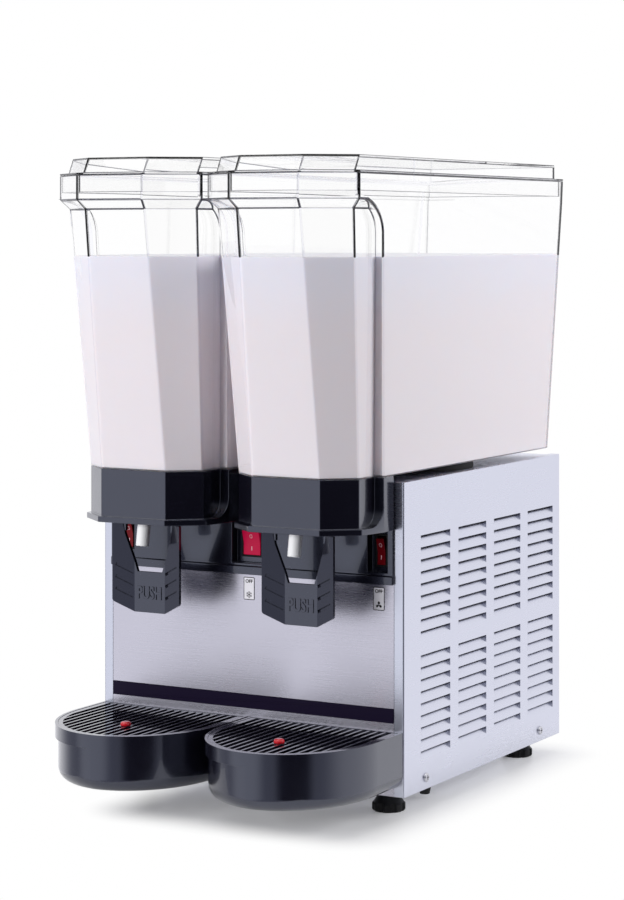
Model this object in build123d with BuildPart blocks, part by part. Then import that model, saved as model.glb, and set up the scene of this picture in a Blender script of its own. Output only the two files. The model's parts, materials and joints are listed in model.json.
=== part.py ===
"""Twin-tank cold drink dispenser.

Two clear tanks stand on a stainless cabinet that holds the cooling set.  Each
tank has a collar with a push tap below its prow and a drip tray in front.
Millimetres, +Z up, the front faces -Y.  The origin is on the floor, below the
middle of the machine's bounding box.
"""
import os
from math import atan2, cos, pi, radians, sin, tan

from build123d import *

# Cabinet
CABINET_WIDTH = 360.0
CABINET_DEPTH = 383.0
CABINET_HEIGHT = 315.0
CABINET_BOTTOM = 21.0
SHEET = 1.0
FLANGE = 11.0
BEND_RADIUS = 2.0
PAN_WALL = 20.0

# Running and sliding gaps
GAP = 0.3
RUNNING_FIT = 0.05

# Side louvres
LOUVRE_LENGTH = 69.0
LOUVRE_HEIGHT = 7.5
LOUVRE_DEPTH = 5.5
LOUVRE_BANK = 9
LOUVRE_COLUMNS = 4
LOUVRE_TOP_MARGIN = 56.5
LOUVRE_BOTTOM_MARGIN = 32.3
LOUVRE_FRONT_MARGIN = 36.0
LOUVRE_REAR_MARGIN = 18.8

# Tanks
TANK_GAP = 20.0
RIM_GAP = 6.0
TANK_WALL = 3.0
TANK_FLOOR = 6.0
TANK_LIFT = 7.0
SUMP_RADIUS = 16.0
UPSTAND = 12.0
PROW_HEIGHT = 267.0
SHOULDER_HEIGHT = 9.5
RIM_HEIGHT = 25.0
PROW_REACH_LOW = 81.0
PROW_REACH_HIGH = 115.5
PROW_FACE_LOW = 78.0
PROW_FACE_HIGH = 72.0
PROW_STEP_LOW = 10.8
PROW_STEP_HIGH = 8.6
PROW_BEVEL_LOW = 25.3
PROW_BEVEL_HIGH = 33.5
PROW_LAP = 20.0
RIM_REACH = 126.0
RIM_FACE = 78.5
RIM_CORNER = 87.0
FRAME_EDGE_LOW = 24.0
FRAME_EDGE_HIGH = 36.5
ARCH_RISE = 36.0
TANK_REAR_STEP = 11.0
TANK_OVERHANG = 17.0
DRINK_DEPTH = 219.0
DRINK_CLEARANCE = 4.0

# Lids
LID_RISE = 18.0
LID_FLANGE = 2.0
LID_WALL = 2.5
LID_INSET = 7.5
LID_LEAN = 9.5
SKIRT_DEPTH = 18.0
SKIRT_WALL = 2.0
SKIRT_GAP = 1.0

# Evaporators and agitators
EVAPORATOR_SETBACK = 175.0
EVAPORATOR_RADIUS = 55.0
EVAPORATOR_HEIGHT = 144.0
EVAPORATOR_WALL = 1.5
EVAPORATOR_FLANGE = 7.0
EVAPORATOR_DOME = 18.0
TANK_HOLE_MARGIN = 5.0
GASKET_WIDTH = 14.0
IMPELLER_RADIUS = 50.0
IMPELLER_HEIGHT = 24.0
IMPELLER_BLADES = 4
IMPELLER_HUB_RADIUS = 14.0
IMPELLER_HUB_TAPER = 6.0
IMPELLER_PIN_RADIUS = 3.0
IMPELLER_DISC = 6.0
IMPELLER_BLADE = 3.0
IMPELLER_SWEEP = 18.0
IMPELLER_CAP = 3.0
IMPELLER_LIFT = 1.0
MOTOR_RADIUS = 34.0
MOTOR_HEIGHT = 52.0
MOTOR_DROP = 22.0
MOTOR_EDGE = 4.0
MOTOR_PLATE = 2.0
MOTOR_PLATE_WIDTH = 108.0
MOTOR_PLATE_DEPTH = 52.0
MOTOR_POST_RADIUS = 4.0
MOTOR_POST_INSET = 5.0
MOTOR_BEARING_RADIUS = 11.0
MOTOR_BEARING_HEIGHT = 6.0
MOTOR_BORE_DEPTH = 20.0
ROTOR_SHAFT_RADIUS = 4.0
ROTOR_RADIUS = 32.0
ROTOR_THICKNESS = 18.0
ROTOR_CLEARANCE = 3.0

# Collars
COLLAR_HEIGHT = 49.0
COLLAR_WALL = 3.0
LIP_HEIGHT = 6.0
LIP_REACH = 4.0
LIP_SWEEP = 20.0
LEVER_WELL = 40.0
LEVER_CLEARANCE = 1.0
BOSS_INSET = 3.0
BOSS_DEPTH = 20.0
BOSS_DROP = 10.0
BOSS_HEIGHT = 17.0

# Taps, measured from the cabinet front and the tank's underside
PISTON_SETBACK = 58.0
PISTON_RADIUS = 6.8
PISTON_BORE = 4.5
PISTON_TOP = 7.0
PISTON_FLANGE_RADIUS = 12.0
PISTON_FLANGE_DROP = 28.0
PISTON_FLANGE_THICKNESS = 3.0
PISTON_STRAIGHT = 43.0
NOZZLE_LENGTH = 37.3
NOZZLE_LEAN = 9.0
SEAL_SECTION = 0.65
SEAL_HEIGHT = 2.0
PORT_RADIUS = 2.5
PORT_LAND = 0.5
NOZZLE_EDGE = 1.2
GUIDE_DROP = 15.0
GUIDE_THICKNESS = 4.0
GUIDE_WIDTH = 22.0
SPRING_WIRE = 0.6
SPRING_RADIUS = 8.9
SPRING_TURNS = 4
PIVOT_SETBACK = 72.0
PIVOT_DROP = 38.0
PIN_RADIUS = 2.5
PIN_LENGTH = 88.0
EYE_RADIUS = 5.0
FORK_INNER = 7.6
FORK_WIDTH = 4.0
FORK_RADIUS = 4.0

# Push levers
LEVER_WIDTH = 82.0
LEVER_FACE = 37.0
LEVER_SETBACK = 50.0
LEVER_WING = 8.0
LEVER_THICKNESS = 4.0
LEVER_HEIGHT = 92.0
LEVER_TOP_GAP = 3.0
LEVER_CHEVRON = 11.0
LEVER_CORNER = 4.0
WINDOW_SILL = 42.0
WINDOW_KNEE = 80.0
WINDOW_LOW = 30.0
WINDOW_MID = 56.0
WINDOW_HIGH = 61.0
GROOVE_COUNT = 3
GROOVE_PITCH = 12.5
GROOVE_WIDTH = 3.0
GROOVE_DEPTH = 2.0
GROOVE_TOP = 40.0
GROOVE_MARGIN = 1.0
ARM_LAP = 8.0
ARM_RISE = 6.0
ARM_TANGENTS = (43.0, 238.0)
ARM_INSET = 4.0

# Fascia and switches
FASCIA_HEIGHT = 103.0
FASCIA_WALL = 3.0
FASCIA_DEPTH = 14.0
FASCIA_BORDER = 9.0
FASCIA_STEP = 1.5
FASCIA_OVERLAP = 8.0
SWITCH_DROP = 70.0
POCKET_WIDTH = 38.0
NARROW_POCKET_WIDTH = 23.0
POCKET_HEIGHT = 43.0
POCKET_DEPTH = 11.0
POCKET_WALL = 2.0
BEZEL_THICKNESS = 2.0
BEZEL_LIP = 1.5
BEZEL_TAPER = 12.0
SWITCH_DEPTH = 24.0
WIDE_BEZEL = (26.5, 32.5)
WIDE_ROCKER = (20.0, 25.5)
NARROW_BEZEL = (15.5, 34.0)
NARROW_ROCKER = (9.0, 27.0)
NARROW_SWITCH_INSET = 28.4
ROCKER_TILT = 8.0
ROCKER_PROUD = 4.5
ROCKER_DEPTH = 8.0
TRUNNION_RADIUS = 1.5
TRUNNION_LENGTH = 0.8
ROCKER_EDGE = 1.0
ROCKER_ROOM = 3.0
BLADE_WIDTH = 6.3
BLADE_THICKNESS = 0.8
BLADE_LENGTH = 8.0

# Drip trays
TRAY_GAP = 3.0
TRAY_REACH = 161.0
TRAY_STRAIGHT = 54.0
TRAY_TOP = 86.0
TRAY_HEIGHT = 56.5
TRAY_WALL = 3.0
TRAY_BAND = 14.0
TRAY_STEP = 4.0
TRAY_BOTTOM_RADIUS = 13.0
TRAY_SEAT = 3.5
TONGUE_SPACING = 100.0
TONGUE_WIDTH = 24.0
TONGUE_THICKNESS = 3.5
TONGUE_LENGTH = 14.0
TONGUE_DROP = 24.0
GRILLE_THICKNESS = 6.0
GRILLE_BAR = 2.4
GRILLE_SLOPE = 3.5
GRILLE_PITCH = 8.9
GRILLE_BARS = 17
GRILLE_BORDER = 5.0
GRILLE_RIBS = 2
GRILLE_RIB_SETBACK = 65.7
GRILLE_RIB_PITCH = 62.6
FLOAT_SETBACK = 102.0
FLOAT_OFFSET = 5.0
FLOAT_STEM_RADIUS = 4.0
FLOAT_HEAD_RADIUS = 5.4
FLOAT_HEAD_HEIGHT = 4.0
FLOAT_HEAD_DOME = 2.8
FLOAT_RADIUS = 15.0
FLOAT_HEIGHT = 14.0
FLOAT_EDGE = 3.0
FLOAT_CLEARANCE = 5.0
FLOAT_BOSS = 3.0

# Feet and base
FOOT_RADIUS = 17.0
FOOT_KNOB = 9.0
FOOT_NECK_RADIUS = 9.0
FOOT_LOBES = 8
FOOT_LOBE_RADIUS = 3.4
FOOT_INSET = 33.0
FOOT_FRONT = 30.0
FOOT_REAR = 43.5
FOOT_CHAMFER = 1.5
FOOT_NECK_HEIGHT = 3.0
STUD_RADIUS = 4.0
STUD_LENGTH = 18.0
WELD_NUT_RADIUS = 8.0
WELD_NUT_HEIGHT = 7.0
BUMPER_RADIUS = 9.0
BUMPER_HEIGHT = 17.0
BUMPER_TIP = 5.0
BUMPER_SETBACK = 95.0
BUMPER_INSET = 25.0

# Cooling set
COMPRESSOR_INSET = 95.0
COMPRESSOR_SETBACK = 262.0
COMPRESSOR_RADIUS = 68.0
COMPRESSOR_HEIGHT = 158.0
COMPRESSOR_STANDOFF = 10.0
COMPRESSOR_DOME = 38.0
COMPRESSOR_SEAM = 3.0
COMPRESSOR_SEAM_HEIGHT = 4.0
COMPRESSOR_PLATE = (129.0, 102.0)
COMPRESSOR_PLATE_CORNER = 12.0
COMPRESSOR_PLATE_THICKNESS = 3.0
COMPRESSOR_FOOT_PITCH = (108.8, 81.6)
COMPRESSOR_FOOT_RADIUS = 8.0
COMPRESSOR_DISCHARGE = 60.0
TERMINAL_BOX = (30.0, 46.0)
TERMINAL_BOX_HEIGHT = 56.0
TERMINAL_BOX_RISE = 40.0
CONDENSER_INSET = 58.0
CONDENSER_THICKNESS = 54.0
CONDENSER_LENGTH = 236.0
CONDENSER_HEIGHT = 196.0
CONDENSER_SETBACK = 195.0
CONDENSER_FINS = 18
CONDENSER_FIN = 2.0
CONDENSER_TUBE = 4.5
CONDENSER_ROWS = 5
FAN_SETBACK = 46.0
FAN_CLEARANCE = 12.0
FAN_RADIUS = 84.0
FAN_HUB_RADIUS = 20.0
FAN_HUB_LENGTH = 22.0
FAN_BLADES = 5
FAN_PITCH = 32.0
FAN_CHORD = 44.0
FAN_BLADE = 1.6
FAN_SHAFT_RADIUS = 4.0
FAN_MOTOR_RADIUS = 30.0
FAN_MOTOR_LENGTH = 42.0
FAN_MOTOR_EDGE = 5.0
FAN_MOTOR_GAP = 3.0
BRACKET_FOOT = 36.0
BRACKET_WIDTH = 50.0
BRACKET_THICKNESS = 3.0
PIPE_RADIUS = 4.0
PIPE_BEND = 16.0
PIPE_CLEARANCE = 3.0
PIPE_PAIR_GAP = 14.0
PIPE_RISE = 20.0
PIPE_DROP = 44.0
DISCHARGE_DROP = 52.0
DISCHARGE_SETBACK = 120.0

# Rear panel fittings
VENT_LENGTH = 56.0
VENT_HEIGHT = 5.0
VENT_PITCH = 12.0
VENT_COLUMN_PITCH = 70.0
VENT_ROWS = 9
VENT_COLUMNS = 4
VENT_Z = 120.0
THERMOSTAT_INSET = 55.0
THERMOSTAT_DROP = 51.0
THERMOSTAT_SIZE = 40.0
THERMOSTAT_DEPTH = 30.0
KNOB_RADIUS = 16.0
KNOB_HEIGHT = 14.0
KNOB_SHAFT_RADIUS = 3.0
KNOB_RIBS = 12
KNOB_RIB_RADIUS = 1.6
KNOB_TAPER = 5.0
KNOB_CAP = 1.5
KNOB_MARK = (2.0, 8.0)
KNOB_MARK_DEPTH = 1.0
GLAND_INSET = 60.0
GLAND_RISE = 41.0
GLAND_RADIUS = 11.0
GLAND_BORE = 4.5
GLAND_LENGTH = 14.0
GLAND_LIP = 2.0
GLAND_TAPER = 10.0

# Places worked out from the sizes above
FRONT = (TRAY_REACH - CABINET_DEPTH - TANK_OVERHANG) / 2
REAR = FRONT + CABINET_DEPTH
MIDDLE = FRONT + CABINET_DEPTH / 2
CABINET_TOP = CABINET_BOTTOM + CABINET_HEIGHT
TANK_PITCH = CABINET_WIDTH / 2
TANK_WIDTH = TANK_PITCH - TANK_GAP
RIM_WIDTH = TANK_PITCH - RIM_GAP
TRAY_WIDTH = TANK_PITCH - TRAY_GAP
PAN_TOP = CABINET_BOTTOM + 2 * SHEET
DECK_TOP = CABINET_TOP - SHEET
TANK_BOTTOM = CABINET_TOP + TANK_LIFT
SHOULDER_Z = TANK_BOTTOM + PROW_HEIGHT
RIM_BOTTOM = SHOULDER_Z + SHOULDER_HEIGHT
RIM_TOP = RIM_BOTTOM + RIM_HEIGHT
LID_TOP = RIM_TOP + LID_RISE
DRINK_TOP = TANK_BOTTOM + DRINK_DEPTH
ARCH_Z = RIM_BOTTOM - ARCH_RISE
EVAPORATOR_Y = FRONT + EVAPORATOR_SETBACK
EVAPORATOR_TOP = DECK_TOP + EVAPORATOR_HEIGHT
IMPELLER_BASE = EVAPORATOR_TOP + IMPELLER_LIFT
FASCIA_BOTTOM = CABINET_TOP - FASCIA_HEIGHT
FASCIA_FACE = FRONT - FASCIA_WALL
SWITCH_Z = CABINET_TOP - SWITCH_DROP
COLLAR_TOP = TANK_BOTTOM - GAP
COLLAR_BAND_BOTTOM = TANK_BOTTOM - COLLAR_HEIGHT
COLLAR_BOTTOM = COLLAR_BAND_BOTTOM - LIP_HEIGHT
PISTON_Y = FRONT - PISTON_SETBACK
PIVOT_Y = FRONT - PIVOT_SETBACK
PIVOT_Z = TANK_BOTTOM - PIVOT_DROP
FLANGE_Z = TANK_BOTTOM - PISTON_FLANGE_DROP
GUIDE_Z = TANK_BOTTOM - GUIDE_DROP
TRAY_BOTTOM = TRAY_TOP - TRAY_HEIGHT
GRILLE_BASE = TRAY_TOP - GRILLE_THICKNESS
GRILLE_TOP = TRAY_TOP - GAP
FLOAT_Y = FRONT - FLOAT_SETBACK
TONGUE_Z = TRAY_TOP - TONGUE_DROP
COMPRESSOR_X = -CABINET_WIDTH / 2 + COMPRESSOR_INSET
COMPRESSOR_Y = FRONT + COMPRESSOR_SETBACK
CONDENSER_X = CABINET_WIDTH / 2 - CONDENSER_INSET
CONDENSER_Y = FRONT + CONDENSER_SETBACK
CONDENSER_Z = PAN_TOP + CONDENSER_HEIGHT / 2
FAN_X = CONDENSER_X - FAN_SETBACK
THERMOSTAT_X = -CABINET_WIDTH / 2 + THERMOSTAT_INSET
THERMOSTAT_Z = CABINET_TOP - THERMOSTAT_DROP
GLAND_X = CABINET_WIDTH / 2 - GLAND_INSET
GLAND_Z = CABINET_BOTTOM + GLAND_RISE
TANK_SIDES = {"left": -TANK_PITCH / 2, "right": TANK_PITCH / 2}

os.makedirs("parts", exist_ok=True)


def save(part, name):
    """Label a finished piece and write it under its own name."""
    part.label = name
    export_step(part, f"parts/{name}.step")


def save_pair(part, name):
    """Write one piece twice, on the centre plane of each tank."""
    for side, centre in TANK_SIDES.items():
        save(Pos(centre, 0, 0) * part, f"{side}_{name}")


def mix(low, high, share):
    """Value that lies a share of the way from low to high."""
    return low + (high - low) * share


def chamfered_outline(face, reach, width, corner, back, inset=0.0):
    """Prow seen from above: a front face, two bevels, two sides and a straight back."""
    bevel = atan2(reach - corner, (width - face) / 2)
    half_face = face / 2 - inset * tan(bevel / 2)
    half_width = width / 2 - inset
    front_y = FRONT - reach + inset
    corner_y = FRONT - corner + inset * tan((pi / 2 - bevel) / 2)
    right = [(half_face, front_y), (half_width, corner_y), (half_width, back)]
    left = [(-x, y) for x, y in reversed(right)]
    return right + left


def body_width(level):
    """Width of a tank's frame at one height; it has a draft up to the rim."""
    share = min((level - TANK_BOTTOM) / (RIM_BOTTOM - TANK_BOTTOM), 1.0)
    return mix(TANK_WIDTH, RIM_WIDTH, share)


def prow_outline(level, inset=0.0, back=FRONT + PROW_LAP):
    """Tank prow at one height; it widens and leans forward towards the top."""
    share = (level - TANK_BOTTOM) / PROW_HEIGHT
    reach = mix(PROW_REACH_LOW, PROW_REACH_HIGH, share)
    face = mix(PROW_FACE_LOW, PROW_FACE_HIGH, share)
    width = body_width(level) - 2 * mix(PROW_STEP_LOW, PROW_STEP_HIGH, share)
    corner = reach - mix(PROW_BEVEL_LOW, PROW_BEVEL_HIGH, share)
    return chamfered_outline(face, reach, width, corner, back, inset)


def rim_outline(inset, back, lean=0.0):
    """Tank rim seen from above, with its front drawn back by a lean."""
    return chamfered_outline(RIM_FACE, RIM_REACH - lean, RIM_WIDTH, RIM_CORNER - lean, back, inset)


def rear_wall(level):
    """Y of the leaning rear wall's outer face at one height."""
    share = (level - TANK_BOTTOM) / (RIM_TOP - TANK_BOTTOM)
    return REAR + mix(-TANK_REAR_STEP, TANK_OVERHANG, share)


def tank_envelope(inset, floor):
    """Skin of a tank drawn in by an inset, from a floor level up to the rim."""
    edge_share = (floor - TANK_BOTTOM) / (ARCH_Z - TANK_BOTTOM)
    edge_low = FRONT - mix(FRAME_EDGE_LOW, FRAME_EDGE_HIGH, edge_share) + inset
    arch_y = FRONT - RIM_CORNER
    arch_run = RIM_CORNER - FRAME_EDGE_HIGH
    half_low = body_width(floor) / 2 - inset
    half_high = RIM_WIDTH / 2 - inset
    with BuildPart() as frame:
        with BuildSketch(Plane.YZ):
            with BuildLine():
                arch = EllipticalCenterArc((arch_y, ARCH_Z), arch_run + inset, ARCH_RISE + inset, arc_size=90)
                Polyline(
                    arch @ 1,
                    (arch_y, RIM_TOP),
                    (rear_wall(RIM_TOP) - inset, RIM_TOP),
                    (rear_wall(floor) - inset, floor),
                    (edge_low, floor),
                    arch @ 0,
                )
            make_face()
        extrude(amount=max(half_low, half_high), both=True)
        with BuildSketch(Plane.XZ):
            Polygon(
                (half_low, floor),
                (half_high, RIM_BOTTOM),
                (half_high, RIM_TOP),
                (-half_high, RIM_TOP),
                (-half_high, RIM_BOTTOM),
                (-half_low, floor),
                align=None,
            )
        extrude(amount=CABINET_DEPTH, both=True, mode=Mode.INTERSECT)
    with BuildPart() as envelope:
        with BuildSketch(Plane.XY.offset(floor)):
            Polygon(*prow_outline(floor, inset), align=None)
        with BuildSketch(Plane.XY.offset(SHOULDER_Z)):
            Polygon(*prow_outline(SHOULDER_Z, inset), align=None)
        loft(ruled=True)
        with BuildSketch(Plane.XY.offset(SHOULDER_Z)):
            Polygon(*prow_outline(SHOULDER_Z, inset), align=None)
        with BuildSketch(Plane.XY.offset(RIM_BOTTOM)):
            Polygon(*rim_outline(inset, FRONT + PROW_LAP), align=None)
        loft(ruled=True)
        with BuildSketch(Plane.XY.offset(RIM_BOTTOM)):
            Polygon(*rim_outline(inset, FRONT + PROW_LAP), align=None)
        extrude(amount=RIM_HEIGHT)
        add(frame.part)
    return envelope.part


def tray_plan(inset, shift=0.0):
    """Drip tray seen from above: straight sides that run into a half-ellipse front."""
    half_width = TRAY_WIDTH / 2 - inset
    back = FRONT - GAP - inset
    turn = FRONT - TRAY_STRAIGHT
    with BuildSketch() as plan:
        with Locations((shift, turn)):
            Ellipse(half_width, TRAY_REACH - TRAY_STRAIGHT - inset)
        with Locations((shift, turn)):
            Rectangle(2 * half_width, TRAY_REACH, align=(Align.CENTER, Align.MIN), mode=Mode.SUBTRACT)
        with Locations((shift, turn)):
            Rectangle(2 * half_width, back - turn, align=(Align.CENTER, Align.MIN))
    return plan.sketch


# Right side panel: a folded tray of sheet with four columns of pressed louvres
def louvre_rows():
    """Heights of the louvre slits: two banks with one row left out between them."""
    top = CABINET_TOP - LOUVRE_TOP_MARGIN
    run = CABINET_HEIGHT - LOUVRE_TOP_MARGIN - LOUVRE_BOTTOM_MARGIN - LOUVRE_HEIGHT
    pitch = run / (2 * LOUVRE_BANK)
    rows = [row for row in range(2 * LOUVRE_BANK + 1) if row != LOUVRE_BANK]
    return [top - row * pitch for row in rows]


side_outer = CABINET_WIDTH / 2
column_run = CABINET_DEPTH - LOUVRE_FRONT_MARGIN - LOUVRE_REAR_MARGIN - LOUVRE_LENGTH
column_pitch = column_run / (LOUVRE_COLUMNS - 1)
louvre_starts = [
    FRONT + LOUVRE_FRONT_MARGIN + column * column_pitch
    for column in range(LOUVRE_COLUMNS)
]

with BuildPart() as right_side_panel:
    with BuildSketch(Plane.YZ.offset(side_outer)):
        with Locations((MIDDLE, CABINET_BOTTOM + CABINET_HEIGHT / 2)):
            Rectangle(CABINET_DEPTH, CABINET_HEIGHT)
    extrude(amount=-FLANGE)
    fillet(right_side_panel.edges().filter_by(Axis.Z).group_by(Axis.X)[-1], BEND_RADIUS)
    with BuildSketch(Plane.YZ.offset(side_outer - SHEET)):
        with Locations((MIDDLE, CABINET_BOTTOM + CABINET_HEIGHT / 2)):
            Rectangle(CABINET_DEPTH - 2 * SHEET, CABINET_HEIGHT - 2 * SHEET)
    extrude(amount=-FLANGE, mode=Mode.SUBTRACT)
    with BuildSketch(Plane.YZ.offset(side_outer)):
        for start in louvre_starts:
            for row in louvre_rows():
                with Locations((start, row - LOUVRE_HEIGHT)):
                    Rectangle(LOUVRE_LENGTH, LOUVRE_HEIGHT, align=Align.MIN)
    extrude(amount=-SHEET, mode=Mode.SUBTRACT)
    for start in louvre_starts:
        with BuildSketch(Plane.XZ.offset(-start)):
            for row in louvre_rows():
                Polygon(
                    (side_outer, row - LOUVRE_HEIGHT),
                    (side_outer - LOUVRE_DEPTH, row),
                    (side_outer - LOUVRE_DEPTH - SHEET, row),
                    (side_outer - SHEET, row - LOUVRE_HEIGHT),
                    align=None,
                )
        extrude(amount=-LOUVRE_LENGTH)
        for end, thickness in ((start, -SHEET), (start + LOUVRE_LENGTH, SHEET)):
            with BuildSketch(Plane.XZ.offset(-end)):
                for row in louvre_rows():
                    Polygon(
                        (side_outer, row - LOUVRE_HEIGHT),
                        (side_outer, row),
                        (side_outer - LOUVRE_DEPTH, row),
                        align=None,
                    )
            extrude(amount=thickness)
save(right_side_panel.part, "right_side_panel")

with BuildPart() as left_side_panel:
    mirror(right_side_panel.part, about=Plane.YZ)
save(left_side_panel.part, "left_side_panel")

# Base pan: a folded tray on the panels' bottom flanges, with weld nuts for the feet
pan_width = CABINET_WIDTH - 2 * SHEET
pan_depth = CABINET_DEPTH - 2 * SHEET
foot_x = CABINET_WIDTH / 2 - FOOT_INSET
foot_places = {
    "front_left": (-foot_x, FRONT + FOOT_FRONT),
    "front_right": (foot_x, FRONT + FOOT_FRONT),
    "rear_left": (-foot_x, REAR - FOOT_REAR),
    "rear_right": (foot_x, REAR - FOOT_REAR),
}
pan_bottom = CABINET_BOTTOM + SHEET

with BuildPart() as base_pan:
    with BuildSketch(Plane.XY.offset(pan_bottom)):
        with Locations((0, MIDDLE)):
            Rectangle(pan_width, pan_depth)
    extrude(amount=PAN_WALL)
    with BuildSketch(Plane.XY.offset(PAN_TOP)):
        with Locations((0, MIDDLE)):
            Rectangle(pan_width - 2 * SHEET, pan_depth - 2 * SHEET)
    extrude(amount=PAN_WALL, mode=Mode.SUBTRACT)
    with BuildSketch(Plane.XY.offset(PAN_TOP)):
        with Locations(*foot_places.values()):
            Circle(WELD_NUT_RADIUS)
    extrude(amount=WELD_NUT_HEIGHT)
    with BuildSketch(Plane.XY.offset(pan_bottom)):
        with Locations(*foot_places.values()):
            Circle(STUD_RADIUS + RUNNING_FIT)
    extrude(amount=PAN_WALL, mode=Mode.SUBTRACT)
save(base_pan.part, "base_pan")

# Levelling foot: a lobed knob under a cone, on a threaded stud
foot_top = pan_bottom - GAP

with BuildPart() as foot:
    with BuildSketch(Plane.XZ):
        Polygon(
            (0, 0),
            (FOOT_RADIUS - FOOT_CHAMFER, 0),
            (FOOT_RADIUS, FOOT_CHAMFER),
            (FOOT_RADIUS, FOOT_KNOB - FOOT_CHAMFER),
            (FOOT_RADIUS - FOOT_CHAMFER, FOOT_KNOB),
            (FOOT_NECK_RADIUS, foot_top - FOOT_NECK_HEIGHT),
            (FOOT_NECK_RADIUS, foot_top),
            (STUD_RADIUS, foot_top),
            (STUD_RADIUS, foot_top + STUD_LENGTH),
            (0, foot_top + STUD_LENGTH),
            align=None,
        )
    revolve(axis=Axis.Z)
    with BuildSketch():
        with PolarLocations(FOOT_RADIUS + FOOT_LOBE_RADIUS / 3, FOOT_LOBES):
            Circle(FOOT_LOBE_RADIUS)
    extrude(amount=FOOT_KNOB, mode=Mode.SUBTRACT)
for corner, (x, y) in foot_places.items():
    save(Pos(x, y, 0) * foot.part, f"{corner}_foot")

# Rubber stub under the base, clear of the floor
with BuildPart() as base_bumper:
    with BuildSketch(Plane.XY.offset(pan_bottom)):
        with Locations((CABINET_WIDTH / 2 - BUMPER_INSET, FRONT + BUMPER_SETBACK)):
            Circle(BUMPER_RADIUS)
    with BuildSketch(Plane.XY.offset(pan_bottom - BUMPER_HEIGHT)):
        with Locations((CABINET_WIDTH / 2 - BUMPER_INSET, FRONT + BUMPER_SETBACK)):
            Circle(BUMPER_TIP)
    loft()
save(base_bumper.part, "base_bumper")

# Front panel: flat sheet between the side flanges, slotted for the trays' tongues
front_width = CABINET_WIDTH - 2 * FLANGE - 2 * GAP
front_top = FASCIA_BOTTOM + FASCIA_OVERLAP
tongue_places = [
    (centre + offset, TONGUE_Z)
    for centre in TANK_SIDES.values()
    for offset in (-TONGUE_SPACING / 2, TONGUE_SPACING / 2)
]

with BuildPart() as front_panel:
    with BuildSketch(Plane.XZ.offset(-FRONT)):
        with Locations((0, CABINET_BOTTOM)):
            Rectangle(front_width, front_top - CABINET_BOTTOM, align=(Align.CENTER, Align.MIN))
    extrude(amount=-FLANGE)
    with BuildSketch(Plane.XZ.offset(-FRONT - SHEET)):
        with Locations((0, CABINET_BOTTOM)):
            Rectangle(front_width - 2 * SHEET, front_top - CABINET_BOTTOM, align=(Align.CENTER, Align.MIN))
        with Locations((0, CABINET_BOTTOM)):
            Rectangle(front_width, PAN_WALL + 3 * SHEET, align=(Align.CENTER, Align.MIN))
    extrude(amount=-FLANGE, mode=Mode.SUBTRACT)
    with BuildSketch(Plane.XZ.offset(-FRONT)):
        with Locations(*tongue_places):
            Rectangle(TONGUE_WIDTH + 4 * GAP, TONGUE_THICKNESS + 4 * GAP)
    extrude(amount=-SHEET, mode=Mode.SUBTRACT)
save(front_panel.part, "front_panel")

# Rear panel: flat sheet between the side flanges, vented for the condenser
with BuildPart() as rear_panel:
    with BuildSketch(Plane.XZ.offset(-REAR)):
        with Locations((0, CABINET_BOTTOM)):
            Rectangle(front_width, DECK_TOP - SHEET - CABINET_BOTTOM, align=(Align.CENTER, Align.MIN))
        with Locations((0, CABINET_BOTTOM + VENT_Z)):
            with GridLocations(VENT_COLUMN_PITCH, VENT_PITCH, VENT_COLUMNS, VENT_ROWS):
                Rectangle(VENT_LENGTH, VENT_HEIGHT, mode=Mode.SUBTRACT)
        with Locations((THERMOSTAT_X, THERMOSTAT_Z)):
            Circle(KNOB_SHAFT_RADIUS + 4 * GAP, mode=Mode.SUBTRACT)
        with Locations((GLAND_X, GLAND_Z)):
            Circle(GLAND_RADIUS - GLAND_LIP, mode=Mode.SUBTRACT)
    extrude(amount=SHEET)
save(rear_panel.part, "rear_panel")

# Top deck: lies under the side panels' top flanges and carries the evaporators
evaporator_places = [(centre, EVAPORATOR_Y) for centre in TANK_SIDES.values()]
deck_hole = EVAPORATOR_RADIUS - EVAPORATOR_FLANGE
deck_depth = CABINET_DEPTH - 2 * SHEET

with BuildPart() as top_deck:
    with BuildSketch(Plane.XY.offset(DECK_TOP)):
        with Locations((0, MIDDLE)):
            Rectangle(pan_width, deck_depth)
    extrude(amount=-FLANGE)
    with BuildSketch(Plane.XY.offset(DECK_TOP - SHEET)):
        with Locations((0, MIDDLE)):
            Rectangle(pan_width - 2 * SHEET, deck_depth - 2 * SHEET)
    extrude(amount=-FLANGE, mode=Mode.SUBTRACT)
    with BuildSketch(Plane.XY.offset(DECK_TOP)):
        with Locations(*evaporator_places):
            Circle(deck_hole)
    extrude(amount=-SHEET, mode=Mode.SUBTRACT)
save(top_deck.part, "top_deck")

# Fascia: glossy moulding behind the taps, with a deep pocket for each switch
fascia_width = front_width
pocket_floor = FASCIA_FACE + POCKET_DEPTH
narrow_x = CABINET_WIDTH / 2 - NARROW_SWITCH_INSET
narrow_places = [(-narrow_x, SWITCH_Z), (narrow_x, SWITCH_Z)]


def switch_cutout(bezel):
    """Width and height of the hole that a switch body passes through."""
    return bezel[0] - 2 * BEZEL_LIP, bezel[1] - 2 * BEZEL_LIP


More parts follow.
